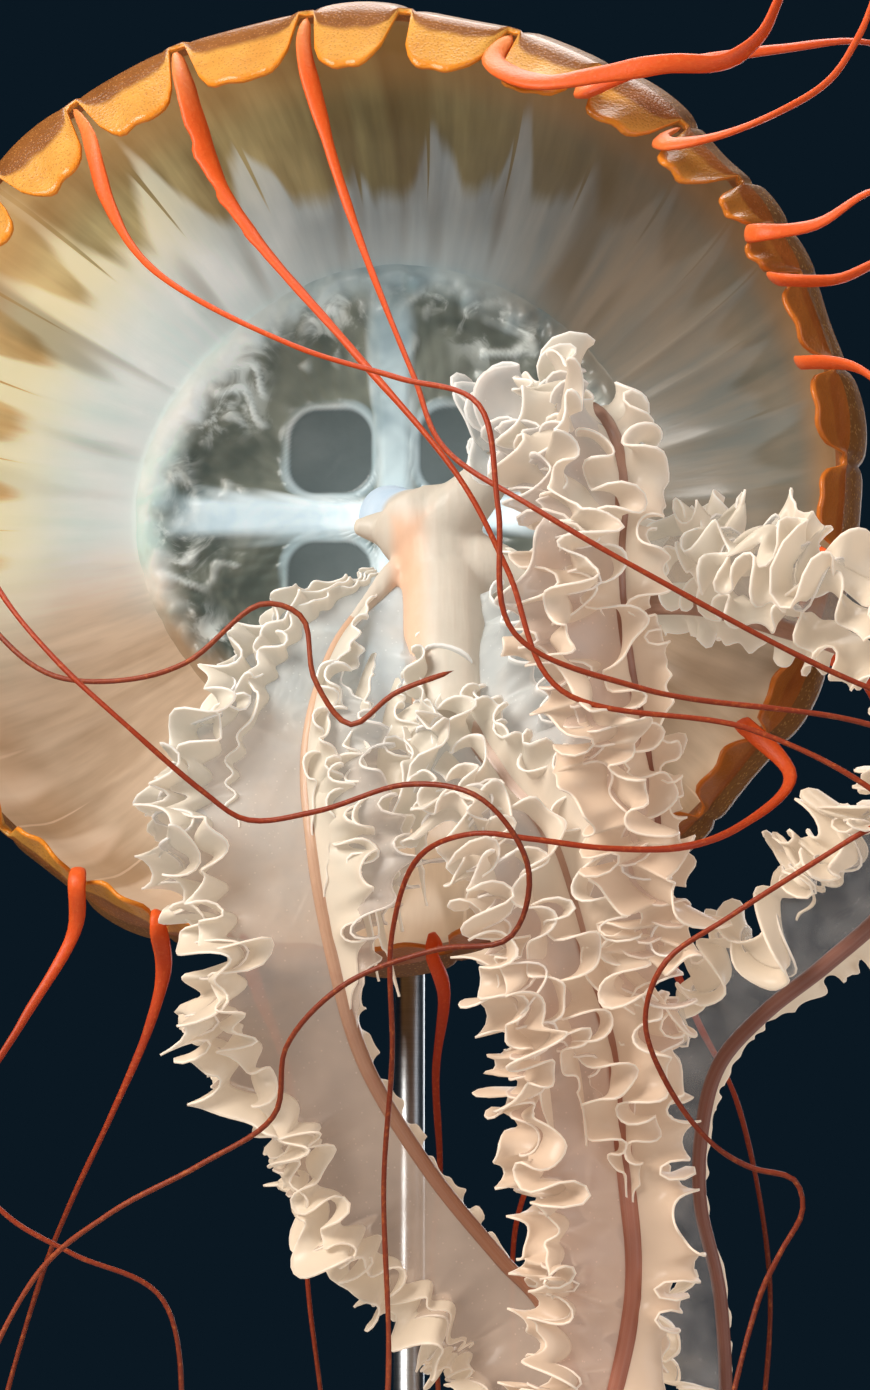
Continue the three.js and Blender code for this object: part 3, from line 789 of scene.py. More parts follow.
OUTSIDE = [
    [0, -60], [0.24, -58], [0.44, -53], [0.62, -44], [0.78, -29], [0.9, -9], [0.97, 9],
    [1, 23], [0.972, 35.4],
]
INSIDE = [
    [0.95, 33.5], [0.945, 25], [0.93, 9], [0.85, -7], [0.73, -19], [0.57, -27], [0.4, -32],
    [0.2, -36], [0, -37],
]
LOBE_STEPS = 16
OUT_ROWS, LAP_ROWS, IN_ROWS = 34, 9, 34


def wall_table(stations, rows):
    line, _ = smooth_line([[r * RIM_TALL, d, 0] for r, d in stations], rows + 1)
    return np.stack([line[:, 0] / RIM_TALL, line[:, 1]], axis=-1)


OUT_TABLE, IN_TABLE = wall_table(OUTSIDE, OUT_ROWS), wall_table(INSIDE, IN_ROWS)
ROWS = OUT_ROWS + 2 * LAP_ROWS + IN_ROWS + 1


def lobe_length(lobe):
    """How far a lappet reaches at a share of the way from one cleft to the next."""
    inner = np.clip((lobe - 0.07) / 0.86, 0, 1)
    return 0.8 + 20.7 * np.clip(1 - np.abs(2 * inner - 1) ** 3.6, 0, 1) ** 0.5


def inside_depth(radius):
    return np.interp(radius, IN_TABLE[::-1, 0], IN_TABLE[::-1, 1])


def split_turn(u):
    """The angle, lappet number and share of a lappet at a share u of the way round."""
    spot = np.asarray(u, float) * CLEFT_COUNT
    lobe = np.floor(spot + 1e-6).astype(int) % CLEFT_COUNT
    share = spot + 1e-6 - np.floor(spot + 1e-6)
    start = CLEFTS[lobe]
    width = (start - CLEFTS[(lobe + 1) % CLEFT_COUNT]) % (2 * math.pi)
    return start - share * width, lobe, share


def pouch_swell(angle, radius):
    """How far the four stomach pouches raise and sink the inside of the bell."""
    pouch = smooth(0.15, 0.4, radius) * (1 - smooth(0.5, 0.74, radius))
    return 3.5 * pouch * np.cos(4 * angle)


def bell_wall(u, v):
    """A point of the wall: u round the bell, and v from the outer pole to the inner one."""
    angle, lobe, share = split_turn(u)
    row = v * ROWS
    outer = row <= OUT_ROWS
    lap = (row > OUT_ROWS) & (row < OUT_ROWS + 2 * LAP_ROWS + 1)
    spots = np.zeros((len(u), 3))

    scallop = np.abs(2 * share - 1)
    table = at(OUT_TABLE, row / OUT_ROWS)
    near_rim = smooth(0.6, 1, table[:, 0])
    swell = 1 + 0.012 * near_rim * (1 - scallop**2) * np.sin(2.3 * lobe + 1)
    groove = 1.3 * near_rim * scallop**8
    spots[outer] = bell_point(angle, (table[:, 0] - groove / RIM_TALL) * swell, table[:, 1])[outer]

    run = row - OUT_ROWS
    out_side = run <= LAP_ROWS
    run = np.where(out_side, run, 2 * LAP_ROWS + 1 - run) / LAP_ROWS
    reach = lobe_length(share) * (1 + 0.08 * np.sin(2.9 * lobe + 0.6))
    reach = reach * (0.5 + 0.5 * smooth(-0.3, 0.75, np.cos(angle - math.radians(118))))
    reach = reach * (1 + 0.02 * np.sin(7 * share * math.pi + 1.7 * lobe))
    half = 1.15 - 0.7 * smooth(0.1, 1, run)
    wave = smooth(0.2, 1, run) * (
        0.45 * np.sin(4 * math.pi * share + 1.3 * lobe)
        + 0.25 * np.sin(13 * share + 2.1 * lobe)
        + 1.2 * (1 - scallop**2) * (0.7 + 0.5 * np.sin(4.1 * lobe))
    )
    spots[lap] = lappet_point(angle, run * reach, np.where(out_side, half, -half) + wave)[lap]

    inner = ~outer & ~lap
    table = at(IN_TABLE, (row - OUT_ROWS - 2 * LAP_ROWS - 1) / IN_ROWS)
    ridge = 0.9 * smooth(0.5, 0.75, table[:, 0]) * (1 - smooth(0.86, 0.94, table[:, 0]))
    depth = table[:, 1] + pouch_swell(angle, table[:, 0]) + ridge * (scallop**3 - 0.3)
    spots[inner] = bell_point(angle, table[:, 0], depth)[inner]
    return spots


def bell_marks():
    def flat(axis, scale):
        centre = from_bell(0, 0, 0)
        return lambda u, v: (bell_wall(u, v) - centre) @ axis / scale

    def radius(u, v):
        return np.hypot(flat(ACROSS, RIM_WIDE)(u, v), flat(UPWARD, RIM_TALL)(u, v))

    def run(u, v):
        row = v * ROWS - OUT_ROWS
        return np.clip(np.where(row <= LAP_ROWS, row, 2 * LAP_ROWS + 1 - row) / LAP_ROWS, 0, 1)

    return {
        "bell_u": flat(ACROSS, RIM_WIDE),
        "bell_v": flat(UPWARD, RIM_TALL),
        "bell_radius": radius,
        "lappet_share": lambda u, v: split_turn(u)[2],
        "lappet_run": run,
    }


def build_bell():
    piece = Piece("bell_skin", [make_exumbrella(), make_lappets(), make_subumbrella()])
    bm = grid(CLEFT_COUNT * LOBE_STEPS, ROWS, bell_wall, bell_marks())
    layer = bm.loops.layers.uv["UVMap"]
    looks = []
    for face in bm.faces:
        row = ROWS * sum(loop[layer].uv.y for loop in face.loops) / len(face.loops)
        looks.append(0 if row < OUT_ROWS else 1 if row < OUT_ROWS + 2 * LAP_ROWS + 1 else 2)
    piece.add(bm)
    for face, look in zip(piece.gathered.faces, looks):
        face.material_index = look
    piece.finish("bell", "bell")


# ---------------------------------------------------------------- gonads

GONAD_REACH = 0.56


def box_gap(x, y, low, high, corner):
    """Distance outside a rounded square, negative inside it."""
    half, middle = (high - low) / 2, (high + low) / 2
    a = np.abs(x - middle) - half + corner
    b = np.abs(y - middle) - half + corner
    return np.hypot(np.maximum(a, 0), np.maximum(b, 0)) + np.minimum(np.maximum(a, b), 0) - corner


def gonad_marks(u, v):
    """The parts of the gonad disc at u round it and v out from its middle."""
    angle, radius = 2 * math.pi * u, GONAD_REACH * v
    x = np.abs(RIM_WIDE * radius * np.cos(angle))
    y = np.abs(RIM_TALL * radius * np.sin(angle))
    away = np.hypot(x, y)
    knuckles = np.abs(np.sin(11 * angle + 1.1 * np.sin(5 * angle + 1) + 0.05 * away)) ** 1.6
    wobble = 1.6 * np.sin(31 * angle + 1) + 0.9 * np.sin(57 * angle + 0.2 * away)
    wobble = wobble * smooth(12, 40, away)
    bar = 1 - smooth(1.8, 6.6, np.minimum(x, y) + 0.5 * wobble - 0.03 * away)
    bar = bar * (1 - smooth(52, 70, away + 4 * knuckles))
    outer = smooth(64, 70, away + wobble + 5 * knuckles - 1)
    field = (1 - bar) * (1 - outer)
    gap = box_gap(x, y, 6.0, 31.0, 8.5)
    pane = field * (1 - smooth(-1.0, 0.6, gap))
    line = field * (1 - smooth(0.6, 1.8, np.abs(gap - 0.6)))
    line = line * (0.25 + 0.75 * (1 - smooth(9, 20, np.minimum(x, y))))
    window = field * smooth(0.0, 1.5, gap)
    path = 15 * angle + 1.5 * np.sin(7 * angle + 2) + 1.1 * np.sin(0.42 * away + 9 * angle)
    fold = 1 - smooth(0.12, 0.66, np.abs(np.sin(path)))
    reach = 52 + 8 * np.sin(13 * angle + 4) + 5 * np.sin(29 * angle)
    fold = fold * smooth(reach, reach + 4, away) * (1 - smooth(66, 71, away)) * (1 - bar)
    return {
        "outward": window * smooth(46 + 8 * np.sin(9 * angle + 1), 68, away),
        "bar": bar,
        "pane": pane,
        "frame_line": line,
        "window": window,
        "ring": outer * (1 - smooth(71, 73, away)) * (1 - bar),
        "fold": fold * (1 - pane),
        "bell_u": np.cos(angle),
        "bell_v": np.sin(angle),
    }


def gonad_disc(u, v):
    angle, radius = 2 * math.pi * u, GONAD_REACH * v
    m = gonad_marks(u, v)
    crinkle = np.sin(44 * angle + 3 * np.sin(9 * angle)) * np.cos(40 * v + 2 * np.sin(7 * angle))
    lumps = np.abs(np.sin(22 * angle + 1.6 * np.sin(7 * angle) + 5 * np.sin(9 * v)))
    lift = 0.7 + 2.0 * m["bar"] + m["ring"] * (1.4 + 2.0 * lumps + 0.5 * crinkle)
    lift = lift + 0.5 * m["frame_line"] - 0.2 * m["pane"] + 0.25 * m["window"] * crinkle
    lift = lift + 1.1 * m["fold"] + m["outward"] * (0.5 + 0.5 * crinkle)
    lift = lift * (1 - smooth(0.9, 0.99, v)) - 0.6 * smooth(0.94, 1, v)
    return bell_point(angle, radius, inside_depth(radius) + pouch_swell(angle, radius) + lift)


def build_gonads():
    piece = Piece("gonad_folds", [make_gonads()])
    names = ("outward", "bar", "pane", "frame_line", "window", "ring", "fold", "bell_u", "bell_v")
    marks = {n: (lambda u, v, n=n: gonad_marks(u, v)[n]) for n in names}
    piece.add(thicken(grid(400, 96, gonad_disc, marks), 0.8))
    piece.finish("bell", "bell")


# ---------------------------------------------------------------- manubrium

THROAT = [[4.9, -2.1, -34], [3.6, -2, -26], [8, -5, -8], [12, -8, 10], [14, -14, 20]]
THROAT_SIZE = np.array([9, 8.5, 9, 10.5, 11])
# The collar of the throat, and the trunk that comes down from it.
COLLAR = [[12, -5, 17], [13.5, -8.5, 19.5], [16, -13.5, 22], [18, -21, 26]]
COLLAR_SIZE = np.array([13.5, 12.6, 11.4, 10.6])
FLANGE = [[12, -11, 17], [3, -8.8, 16.6], [-5.4, -8.2, 17.5]]
FLANGE_SIZE = np.array([9, 5.2, 1.8])
TRUNK = [[16, -12, 20], [18, -26, 29], [18.5, -40, 38], [20, -54, 47], [25, -67, 58]]
TRUNK_SIZE = np.array([10, 10.8, 10.8, 10, 5])
ROOT_STATIONS = 120
# How far down the three other arms the throat's body goes, and then its half widths there.
ROOTS = {
    "left": [24, 5, 3.4, 2.2, 1.2], "right": [40, 10, 8, 5.5, 2.5], "far": [36, 10, 7.5, 5, 2.5],
}


def arm_line(spec):
    """The middle line of an arm, and its length."""
    route = hang_on(spec["route"], spec["tip"], spec["sway"], spec["phase"])
    return smooth_line(route, STATIONS)


def build_manubrium():
    """The throat, its collar and the roots of the four arms, as one body."""
    ways = [
        (THROAT, THROAT_SIZE), (COLLAR, COLLAR_SIZE), (FLANGE, FLANGE_SIZE), (TRUNK, TRUNK_SIZE),
    ]
    for name, (deep, *size) in ROOTS.items():
        line, length = arm_line(ARMS[name])
        root = line[: int(STATIONS * deep / length) : 6]
        ways.append(([THROAT[-1], *root], np.array(size)))
    roots = Piece("roots", [])
    for path, size in ways:
        line, _ = smooth_line(path, ROOT_STATIONS)
        t = np.linspace(0, 1, ROOT_STATIONS)
        size = np.interp(t, np.linspace(0, 1, len(size)), size)
        roots.add(
            tube(
                line, carried_sides(line, [1, 0, 0]), size, size * 0.92, 48, 60,
                wave=lambda u, v: 0.035 * np.sin(6 * math.pi * u + 2 * v),
            ),
            own_frame=False,
        )
    flesh = Piece("manubrium_funnel", [make_throat()])
    flesh.add(blended(roots.gathered, 0.9, 8))
    flesh.finish("manubrium", "manubrium")


# ---------------------------------------------------------------- oral arms

ARMS = {
    "left": dict(
        tip=96, sway=10, phase=0.5, broad=33, narrow=13,
        broad_way=[[-1, 0.1, 0.05], [-1, 0.1, 0.05]],
        narrow_way=[[0.5, -0.2, -0.8], [0.3, 0.1, -1]],
        route=[
            [4, -22, 27], [-9, -40, 44], [-15, -64, 58], [-13, -88, 68], [-8, -114, 71],
            [-1, -139, 66], [15, -167, 58], [32, -189, 52], [43, -202, 50],
        ],
        rib=[1.4, 1.5, 1.9, 1.8, 1.5, 1.0],
    ),
    "middle": dict(
        tip=66, sway=9, phase=2.4, broad=27, narrow=8,
        broad_way=[[-0.9, 0, 0.4], [-1, 0, 0.3]],
        narrow_way=[[0.5, 0, -0.8], [0.6, 0, -0.8]],
        route=[
            [15, -29, 27], [20, -44, 42], [24, -58, 54], [33, -72, 65], [42, -83, 75],
            [48, -99, 81], [52, -115, 82], [57, -133, 81], [60, -160, 79], [62, -190, 80],
        ],
        rib=[6, 4, 2.6, 2.2, 1.8, 1.2],
    ),
    "right": dict(
        tip=120, sway=9, phase=1.2, broad=24, narrow=7,
        broad_way=[[-0.1, 0.9, 0.5], [-0.7, 0.6, 0.3]],
        narrow_way=[[0.2, -0.8, -0.7], [0.5, -0.5, -0.6]],
        route=[
            [26, -18, 25], [44, -24, 26], [62, -28, 36], [80, -30, 62], [96, -36, 86],
            [112, -43, 98], [126, -61, 102], [128, -81, 102], [119, -99, 96],
            [106, -113, 88], [93, -126, 76], [84, -140, 62], [81, -156, 52],
            [81, -176, 46], [86, -200, 46],
        ],
        rib=[6, 3, 2.2, 1.8, 1.6, 1.1],
    ),
    "far": dict(
        tip=84, sway=9, phase=0.6, broad=13, narrow=6,
        broad_way=[[-0.8, 0.5, 0.3], [0.2, -0.1, 1]],
        narrow_way=[[0.5, -0.5, -0.6], [0.3, 0, -0.9]],
        route=[
            [21, -5, 26], [34, 8, 28], [50, 18, 48], [57, 11, 72], [59, -4, 86],
            [58, -23, 92], [60, -43, 92], [64, -62, 88], [67, -80, 82], [67, -97, 75],
            [64, -112, 67], [61, -128, 52], [58, -150, 36], [57, -172, 25],
            [56, -196, 20], [55, -220, 20],
        ],
        rib=[5, 3, 2.2, 1.8, 1.5, 1.0],
    ),
}

# Frilled sheets of each arm: where it grows from (a share of the broad sheet, None for the narrow
# side of the midrib, or a way off the midrib), its lean off the broad sheet in degrees (or, for a
# way off the midrib, how many millimetres it starts away from it, on the side across from the broad
# sheet), its reach in millimetres, and its two ends as shares of the arm's length.
FRILLS = {
    "left": [
        (0.0, 0, 33, 0.0, 1.0), (None, 0, 6, 0.0, 1.0), (0.92, 50, 10, 0.0, 1.0),
        (0.86, -60, 13, 0.0, 0.95), (0.7, -75, 12, 0.0, 0.42), (0.96, 80, 11, 0.02, 0.5),
        (0.5, -65, 11, 0.0, 0.15), ((0.2, 0, 1), 0, 13, 0.0, 0.17),
        ((0.6, 0, 0.8), 0, 13, 0.02, 0.2), ((0.95, 0.1, -0.3), 0, 32, 0.0, 0.24),
        ((0.9, 0.1, 0.5), 0, 22, 0.06, 0.26), ((0.8, 0, 0.7), 0, 17, 0.1, 0.25),
        ((0.5, 0, 0.9), 9, 12, 0.05, 0.23), ((0.7, 0.2, 0.8), 17, 13, 0.06, 0.21),
        ((-0.3, 0, 0.9), 13, 11, 0.08, 0.24), ((0.5, 0.3, 0.8), 24, 12, 0.06, 0.2),
    ],
    "middle": [
        (0.0, 0, 23, 0.0, 1.0), (None, 0, 15, 0.0, 1.0), (0.9, 50, 11, 0.0, 1.0),
        (0.85, -60, 12, 0.0, 0.95), ((0.9, 0.3, 0.4), 0, 27, 0.0, 0.3),
        ((-0.3, 0.2, 1), -9, 13, 0.05, 0.3), ((-0.6, 0, 0.8), -17, 13, 0.08, 0.3),
        ((0.5, 0.3, 0.9), 0, 18, 0.05, 0.34), ((-0.4, 0, 1), 0, 17, 0.05, 0.34),
        ((0.8, 0, 0.3), 0, 16, 0.09, 0.6), ((-0.9, 0, 0.6), 0, 22, 0.1, 0.3),
        ((-1, 0.1, 0.1), 0, 24, 0.12, 0.28),
        ((0.8, 0.5, -0.1), 0, 32, 0.0, 0.16), ((0.7, 0.2, 0.7), 0, 13, 0.04, 0.22),
    ],
    "right": [
        (0.0, 0, 24, 0.0, 1.0), (None, 0, 11, 0.0, 0.42), (None, 0, 4, 0.36, 1.0),
        (0.88, 50, 11, 0.0, 0.5), (0.85, -55, 10, 0.0, 0.46), (0.6, 75, 12, 0.0, 0.35),
        (0.25, 85, 12, 0.0, 0.3), (0.95, 60, 6, 0.42, 1.0), (0.93, -60, 5, 0.42, 1.0),
    ],
    "far": [
        (0.0, 0, 22, 0.0, 1.0), (None, 0, 12, 0.0, 1.0), (0.85, 50, 12, 0.0, 1.0),
        (0.8, -60, 12, 0.0, 0.9), ((-0.7, -0.5, 0.5), 0, 27, 0.02, 0.3),
        ((-0.9, -0.1, 0.6), 0, 19, 0.05, 0.3), ((-0.3, -0.2, 1), 0, 14, 0.02, 0.34),
        ((-1, 0.1, 0.3), 0, 30, 0.03, 0.22),
        ((0.7, 0, 0.7), 0, 12, 0.06, 0.32),
    ],
}
STATIONS = 700
# In millimetres: how far the curls reach in from a margin, a sheet's wall, the step between its
# rows along the arm, and the reach past which it is made as a see-through sheet.
CURLED, SHEET_WALL, ROW_STEP, SEE_THROUGH = 13.0, 0.5, 0.6, 20


def arm_width(t):
    return smooth(-0.06, 0.16, t) * (1 - 0.72 * smooth(0.2, 1, t))


def ruffled(root, way, face, along, reach, length, seed, u, v, curly=1.0):
    """A sheet that leaves its root along way, and curls to and fro near its margin."""
    s = v * length
    size = curly * np.clip(reach / 11, 0.1, 1)
    first = 2 * math.pi * s / 29 + 2.2 * wander(s, 23, seed) + seed
    second = 2 * math.pi * s / 13.5 + 2.6 * wander(s, 15, seed + 1) + 0.9 * np.sin(first)
    third = math.pi * s / 6.6 + 1.9 * wander(s, 9, seed + 2)
    vary = 1 + 0.5 * wander(s, 17, seed + 3)
    reach = reach * (1 + 0.2 * wander(s, 13, seed + 4) + 0.1 * np.cos(2 * second))
    curl = np.minimum(reach, CURLED)

    def bend(part):
        near = np.clip(1 - reach * (1 - part) / curl, 0, 1)
        return size * (0.5 * np.sin(first) * part + 1.5 * vary * np.sin(second) * near**1.5), near

    out, lift, steps = 0.0, 0.0, 9
    for k in range(steps):
        turned_by, _ = bend(u * (k + 0.5) / steps)
        out = out + np.cos(turned_by) * reach * u / steps
        lift = lift + np.sin(turned_by) * reach * u / steps
    turned_by, near = bend(u)
    tooth = 2.9 * size * near**2.2 * (0.45 - np.abs(np.sin(third)))
    out, lift = out + tooth * np.cos(turned_by), lift + tooth * np.sin(turned_by)
    slide = -1.5 * size * near**1.5 * vary * np.sin(2 * second)
    return root + column(out) * way + column(lift) * face + column(slide) * along


def build_arm(name, spec, *looks):
    line, length = arm_line(spec)
    along = directions(line)
    t = np.linspace(0, 1, STATIONS)
    turn = column(smooth(0.12, 0.4, t))

    def flat(ways):
        way = unit(ways[0]) * (1 - turn) + unit(ways[1]) * turn
        return unit(way - along * np.sum(way * along, axis=1, keepdims=True))

    broad, narrow = flat(spec["broad_way"]), flat(spec["narrow_way"])
    face = np.cross(-broad, along)
    core = Piece(f"oral_arm_{name}", looks)
    frills = Piece(f"oral_arm_{name}_frills", looks)

    def main(u, v):
        return ruffled(
            at(line, v), at(broad, v), at(face, v), at(along, v),
            FRILLS[name][0][2] * arm_width(v), length, spec["phase"], u, v, 1.1,
        )

    for k, (root, lean, reach, start, end) in enumerate(FRILLS[name]):
        seed = spec["phase"] + 1.9 * k

        def shape(u, v):
            v = start + (end - start) * v
            taper = arm_width(v) ** 0.6 * smooth(start - 0.02, start + 0.05, v)
            if reach > 24:
                taper = smooth(start - 0.03, start + 0.03, v)
            if end < 1:
                taper = taper * (1 - 0.95 * smooth(end - 0.08, end, v))
            if k == 0:
                return main(u, v)
            if root is None or isinstance(root, tuple):
                side = narrow if root is None else flat([root, root])
                return ruffled(
                    at(line - lean * broad, v), at(side, v), at(np.cross(side, along), v),
                    at(along, v), reach * taper, length, seed, u, v,
                )
            c, s = math.cos(math.radians(lean)), math.sin(math.radians(lean))
            way = c * at(broad, v) + s * at(face, v)
            out = -s * at(broad, v) + c * at(face, v)
            return ruffled(
                main(root + 0 * v, v), way, out, at(along, v), reach * taper, length, seed, u, v,
            )

        def margin(u, v):
            size = 1.5 * arm_width(start + (end - start) * v) ** 0.6
            return (1 - u) * reach * size / 10

        def arm_share(u, v):
            return start + (end - start) * v

        rows = int(length * (end - start) / ROW_STEP)
        marks = {"margin": margin, "arm_share": arm_share}
        sheet = grid(20 if k == 0 else 8, rows, shape, marks)
        for _ in range(2):
            bmesh.ops.smooth_vert(
                sheet, verts=sheet.verts, factor=0.5, use_axis_x=True, use_axis_y=True,
                use_axis_z=True,
            )
        piece = core if k == 0 else frills
        piece.add(thicken(sheet, SHEET_WALL), 0 if k == 0 or reach > SEE_THROUGH else 1)

    sides = carried_sides(line, [1, 0, 0])
    rib = np.interp(t, [0, 0.08, 0.18, 0.45, 0.8, 1], spec["rib"])
    core.add(tube(line, sides, rib, rib * 0.8, 20, 260), 2)
    for piece in (core, frills):
        piece.finish("oral_arm", f"oral_arm_{name}_upper", f"oral_arm_{name}_lower")


# ---------------------------------------------------------------- tentacles

# Cleft it grows from, tip height, sway, phase, root half width, and the places it passes.
TENTACLES = [
    (1, 150, 6, 0.4, 2.5, [
        [-66, 72, 36], [-53, 52, 58], [-16, 27, 102], [8, 17, 124], [25, 10, 136], [29, -12, 141],
        [32, -38, 142], [59, -50, 140], [109, -58, 133], [138, -72, 126], [156, -100, 112],
    ]),
    (2, 95, 6, 0.3, 3.6, [
        [-40, 80, 38], [-29, 61, 54], [-3, 28, 84], [22, -4, 104], [32, -24, 109], [43, -50, 114],
        [85, -59, 117], [113, -74, 124], [134, -98, 122], [138, -128, 116],
    ]),
    (3, 210, 6, 0.5, 2.6, [
        [-11, 86, 46], [-3, 60, 60], [11, 21, 94], [18, 3, 111], [37, -11, 125], [60, -25, 131],
        [109, -50, 129], [146, -60, 124], [172, -84, 104],
    ]),
    (5, 190, 6, 0.6, 3.3, [
        [41, 96, 60], [56, 97, 64], [71, 99, 66], [85, 100, 64], [94, 107, 60], [99, 117, 56],
        [108, 140, 46], [134, 158, 34], [164, 142, 22], [176, 100, 14],
    ]),
    (6, 250, 6, 0.7, 2.4, [
        [62, 99, 56], [80, 104, 48], [101, 108, 44], [124, 111, 38], [146, 104, 24], [162, 80, 6],
    ]),
    (7, 120, 6, 0.6, 2.6, [
        [84, 82, 66], [98, 87, 70], [109, 94, 70], [117, 106, 66], [124, 121, 62], [142, 136, 54],
        [160, 128, 48], [174, 98, 40],
    ]),
    (9, 230, 6, 0.5, 2.3, [[106, 60, 70], [120, 68, 70], [138, 66, 60], [154, 46, 44]]),
    (10, 165, 6, 0.4, 2.3, [[110, 46, 76], [124, 50, 82], [140, 36, 80], [150, 8, 66]]),
    (11, 205, 6, 3.3, 2.2, [
        [114, 24, 84], [126, 6, 100], [133, -14, 110], [136, -40, 119], [130, -67, 120.5],
        [105, -84, 117], [80, -100, 117], [66, -110, 117], [62, -123, 114], [68, -139, 108],
        [78, -152, 103], [87, -158, 99], [97, -161, 98], [99, -168, 97], [94, -178, 96],
        [89, -189, 96],
    ]),
    (13, 115, 5, 0.5, 2.2, [[122, -24, 76], [136, -34, 70], [146, -54, 58], [150, -84, 46]]),
    (14, 260, 5, 0.6, 2.2, [[117, -47, 68], [127, -68, 64], [136, -90, 60], [138, -120, 60]]),
    (15, 140, 5, 0.6, 2.2, [
        [98, -70, 84], [84, -81, 102], [70, -85, 112], [53, -85, 115], [37, -83, 115],
        [24, -82, 112], [12, -88, 102], [6, -106, 94], [6, -134, 90], [4, -164, 86],
    ]),
    (17, 175, 5, 0.5, 2.2, [[72, -114, 52], [82, -134, 34], [94, -158, 18]]),
    (18, 90, 5, 0.4, 2.2, [[41, -118, 54], [41, -140, 42], [42, -164, 32], [36, -188, 26]]),
    (19, 240, 5, 0.3, 2.2, [[18, -124, 50], [16, -145, 42], [17, -171, 36], [15, -194, 32]]),
    (21, 130, 5, 0.2, 2.2, [[-28, -124, 44], [-22, -144, 30], [-19, -170, 18], [-17, -206, 12]]),
    (22, 200, 6, 2.6, 2.2, [
        [-52, -120, 36], [-56, -135, 34], [-66, -158, 32], [-76, -179, 28], [-85, -201, 22],
    ]),
    (23, 105, 6, 2.5, 2.2, [
        [-74, -110, 38], [-86, -132, 44], [-96, -150, 48], [-98, -166, 52], [-88, -178, 54],
        [-72, -187, 55], [-50, -198, 56],
    ]),
    (25, 215, 6, 2.4, 2.2, [[-109, -78, 42], [-103, -97, 34], [-99, -122, 20], [-103, -148, 6]]),
    (26, 160, 7, 2.5, 2.2, [[-124, -58, 30], [-132, -76, 26], [-134, -104, 18]]),
    (27, 270, 7, 2.6, 2.2, [[-133, -32, 34], [-148, -46, 36], [-156, -74, 30]]),
    (29, 0, 0, 0, 2.2, [
        [-117, 10, 42], [-100, -16, 68], [-84, -38, 88], [-71, -47, 94], [-54, -48, 98],
        [-40, -44, 100], [-23, -31, 102], [-14, -34, 103], [-11, -48, 106], [-3, -58, 108],
        [7, -51, 111], [20, -46, 112],
    ]),
    (30, 85, 7, 2.8, 2.2, [
        [-110, 30, 38], [-100, 4, 66], [-84, -26, 96], [-69, -43, 108], [-51, -59, 114],
        [-35, -73, 112], [-26, -79, 110], [-10, -77, 112], [10, -71, 115], [26, -74, 122],
        [36, -89, 124], [32, -104, 122], [16, -107, 118], [-4, -115, 114], [-17, -129, 110],
        [-20, -145, 106], [-37, -157, 101], [-58, -169, 96], [-76, -185, 91],
    ]),
    (31, 180, 7, 2.7, 2.2, [
        [-108, 60, 36], [-124, 52, 52], [-142, 36, 58], [-156, 6, 58], [-162, -34, 52],
    ]),
]
# The clefts of the tentacle that ends at its last place, and of the one with a torn edge.
SHORT_CLEFT, RAGGED_CLEFT = 29, 2
# In millimetres: the half width far from the root, how far down the broad root reaches, and the
# clefts where it reaches further.
THIN, ROOT_FADE = 0.62, 44
SLOW_FADES = {2: 70, 3: 52, 5: 120, 6: 90}
TENTACLE_STATIONS = 500


def tentacle_line(cleft, tip, sway, phase, route):
    angle = CLEFTS[cleft]
    foot = lappet_point(angle, 1.35, 0.0)
    lead = lappet_point(angle, 13.0, 0.6)
    forward = unit(lead - foot)
    start = [foot, lead]
    if (np.array(route[0]) - lead) @ forward < 0:
        near = lappet_point(angle, 10.0, 0.6)
        start = [foot, near, near + 0.4 * (np.array(route[0]) - near) + 6 * forward]
    points = start + [np.array(p, float) for p in route]
    if cleft != SHORT_CLEFT:
        points = hang_on(points, tip, sway, phase)
    return smooth_line(points, TENTACLE_STATIONS)


def build_tentacles(near_look, far_look):
    for group in range(8):
        piece = Piece(f"tentacles_{group + 1}", [near_look if group < 3 else far_look])
        nodes = []
        for n in range(3 * group, 3 * group + 3):
            cleft, tip, sway, phase, root, route = TENTACLES[n]
            line, length = tentacle_line(cleft, tip, sway, phase, route)
            t = np.linspace(0, 1, TENTACLE_STATIONS)
            run = t * length
            swell = 1 + 0.25 * np.exp(-(((run - 24) / 14) ** 2))
            fade = SLOW_FADES.get(cleft, ROOT_FADE)
            base = THIN + (root - THIN) * np.exp(-((run / fade) ** 1.5))
            wide = base * swell * (0.55 + 0.45 * smooth(0, 16, run))
            wide = wide * (1 + 0.05 * np.sin(run / 5 + n) + 0.03 * np.sin(run / 2.1 + 2 * n))
            thick = np.minimum(wide, 0.5 + 0.2 * wide)
            roll = 0.4 * n + 1.6 * np.sin(run / 62 + n) + 0.3 * np.sin(run / 19 + 2 * n)
            wave = None
            if cleft == RAGGED_CLEFT:

                def wave(u, v, length=length):
                    s = v * length
                    torn = np.sin(s / 2.6) + 0.7 * np.sin(s / 1.35 + 1)
                    near = smooth(14, 26, s) * (1 - smooth(58, 84, s))
                    return 0.16 * near * torn * (np.cos(2 * math.pi * u) < -0.2)

            sides = carried_sides(line, [0.3, 0.2, 1])
            piece.add(tube(line, sides, wide, thick, 10, int(length / 2.4), roll, wave))
            nodes += [f"tentacle_{n + 1:02d}_upper", f"tentacle_{n + 1:02d}_lower"]
        piece.finish("tentacle", *nodes)


# ---------------------------------------------------------------- stand

ROD_PLACE = (9, 54)


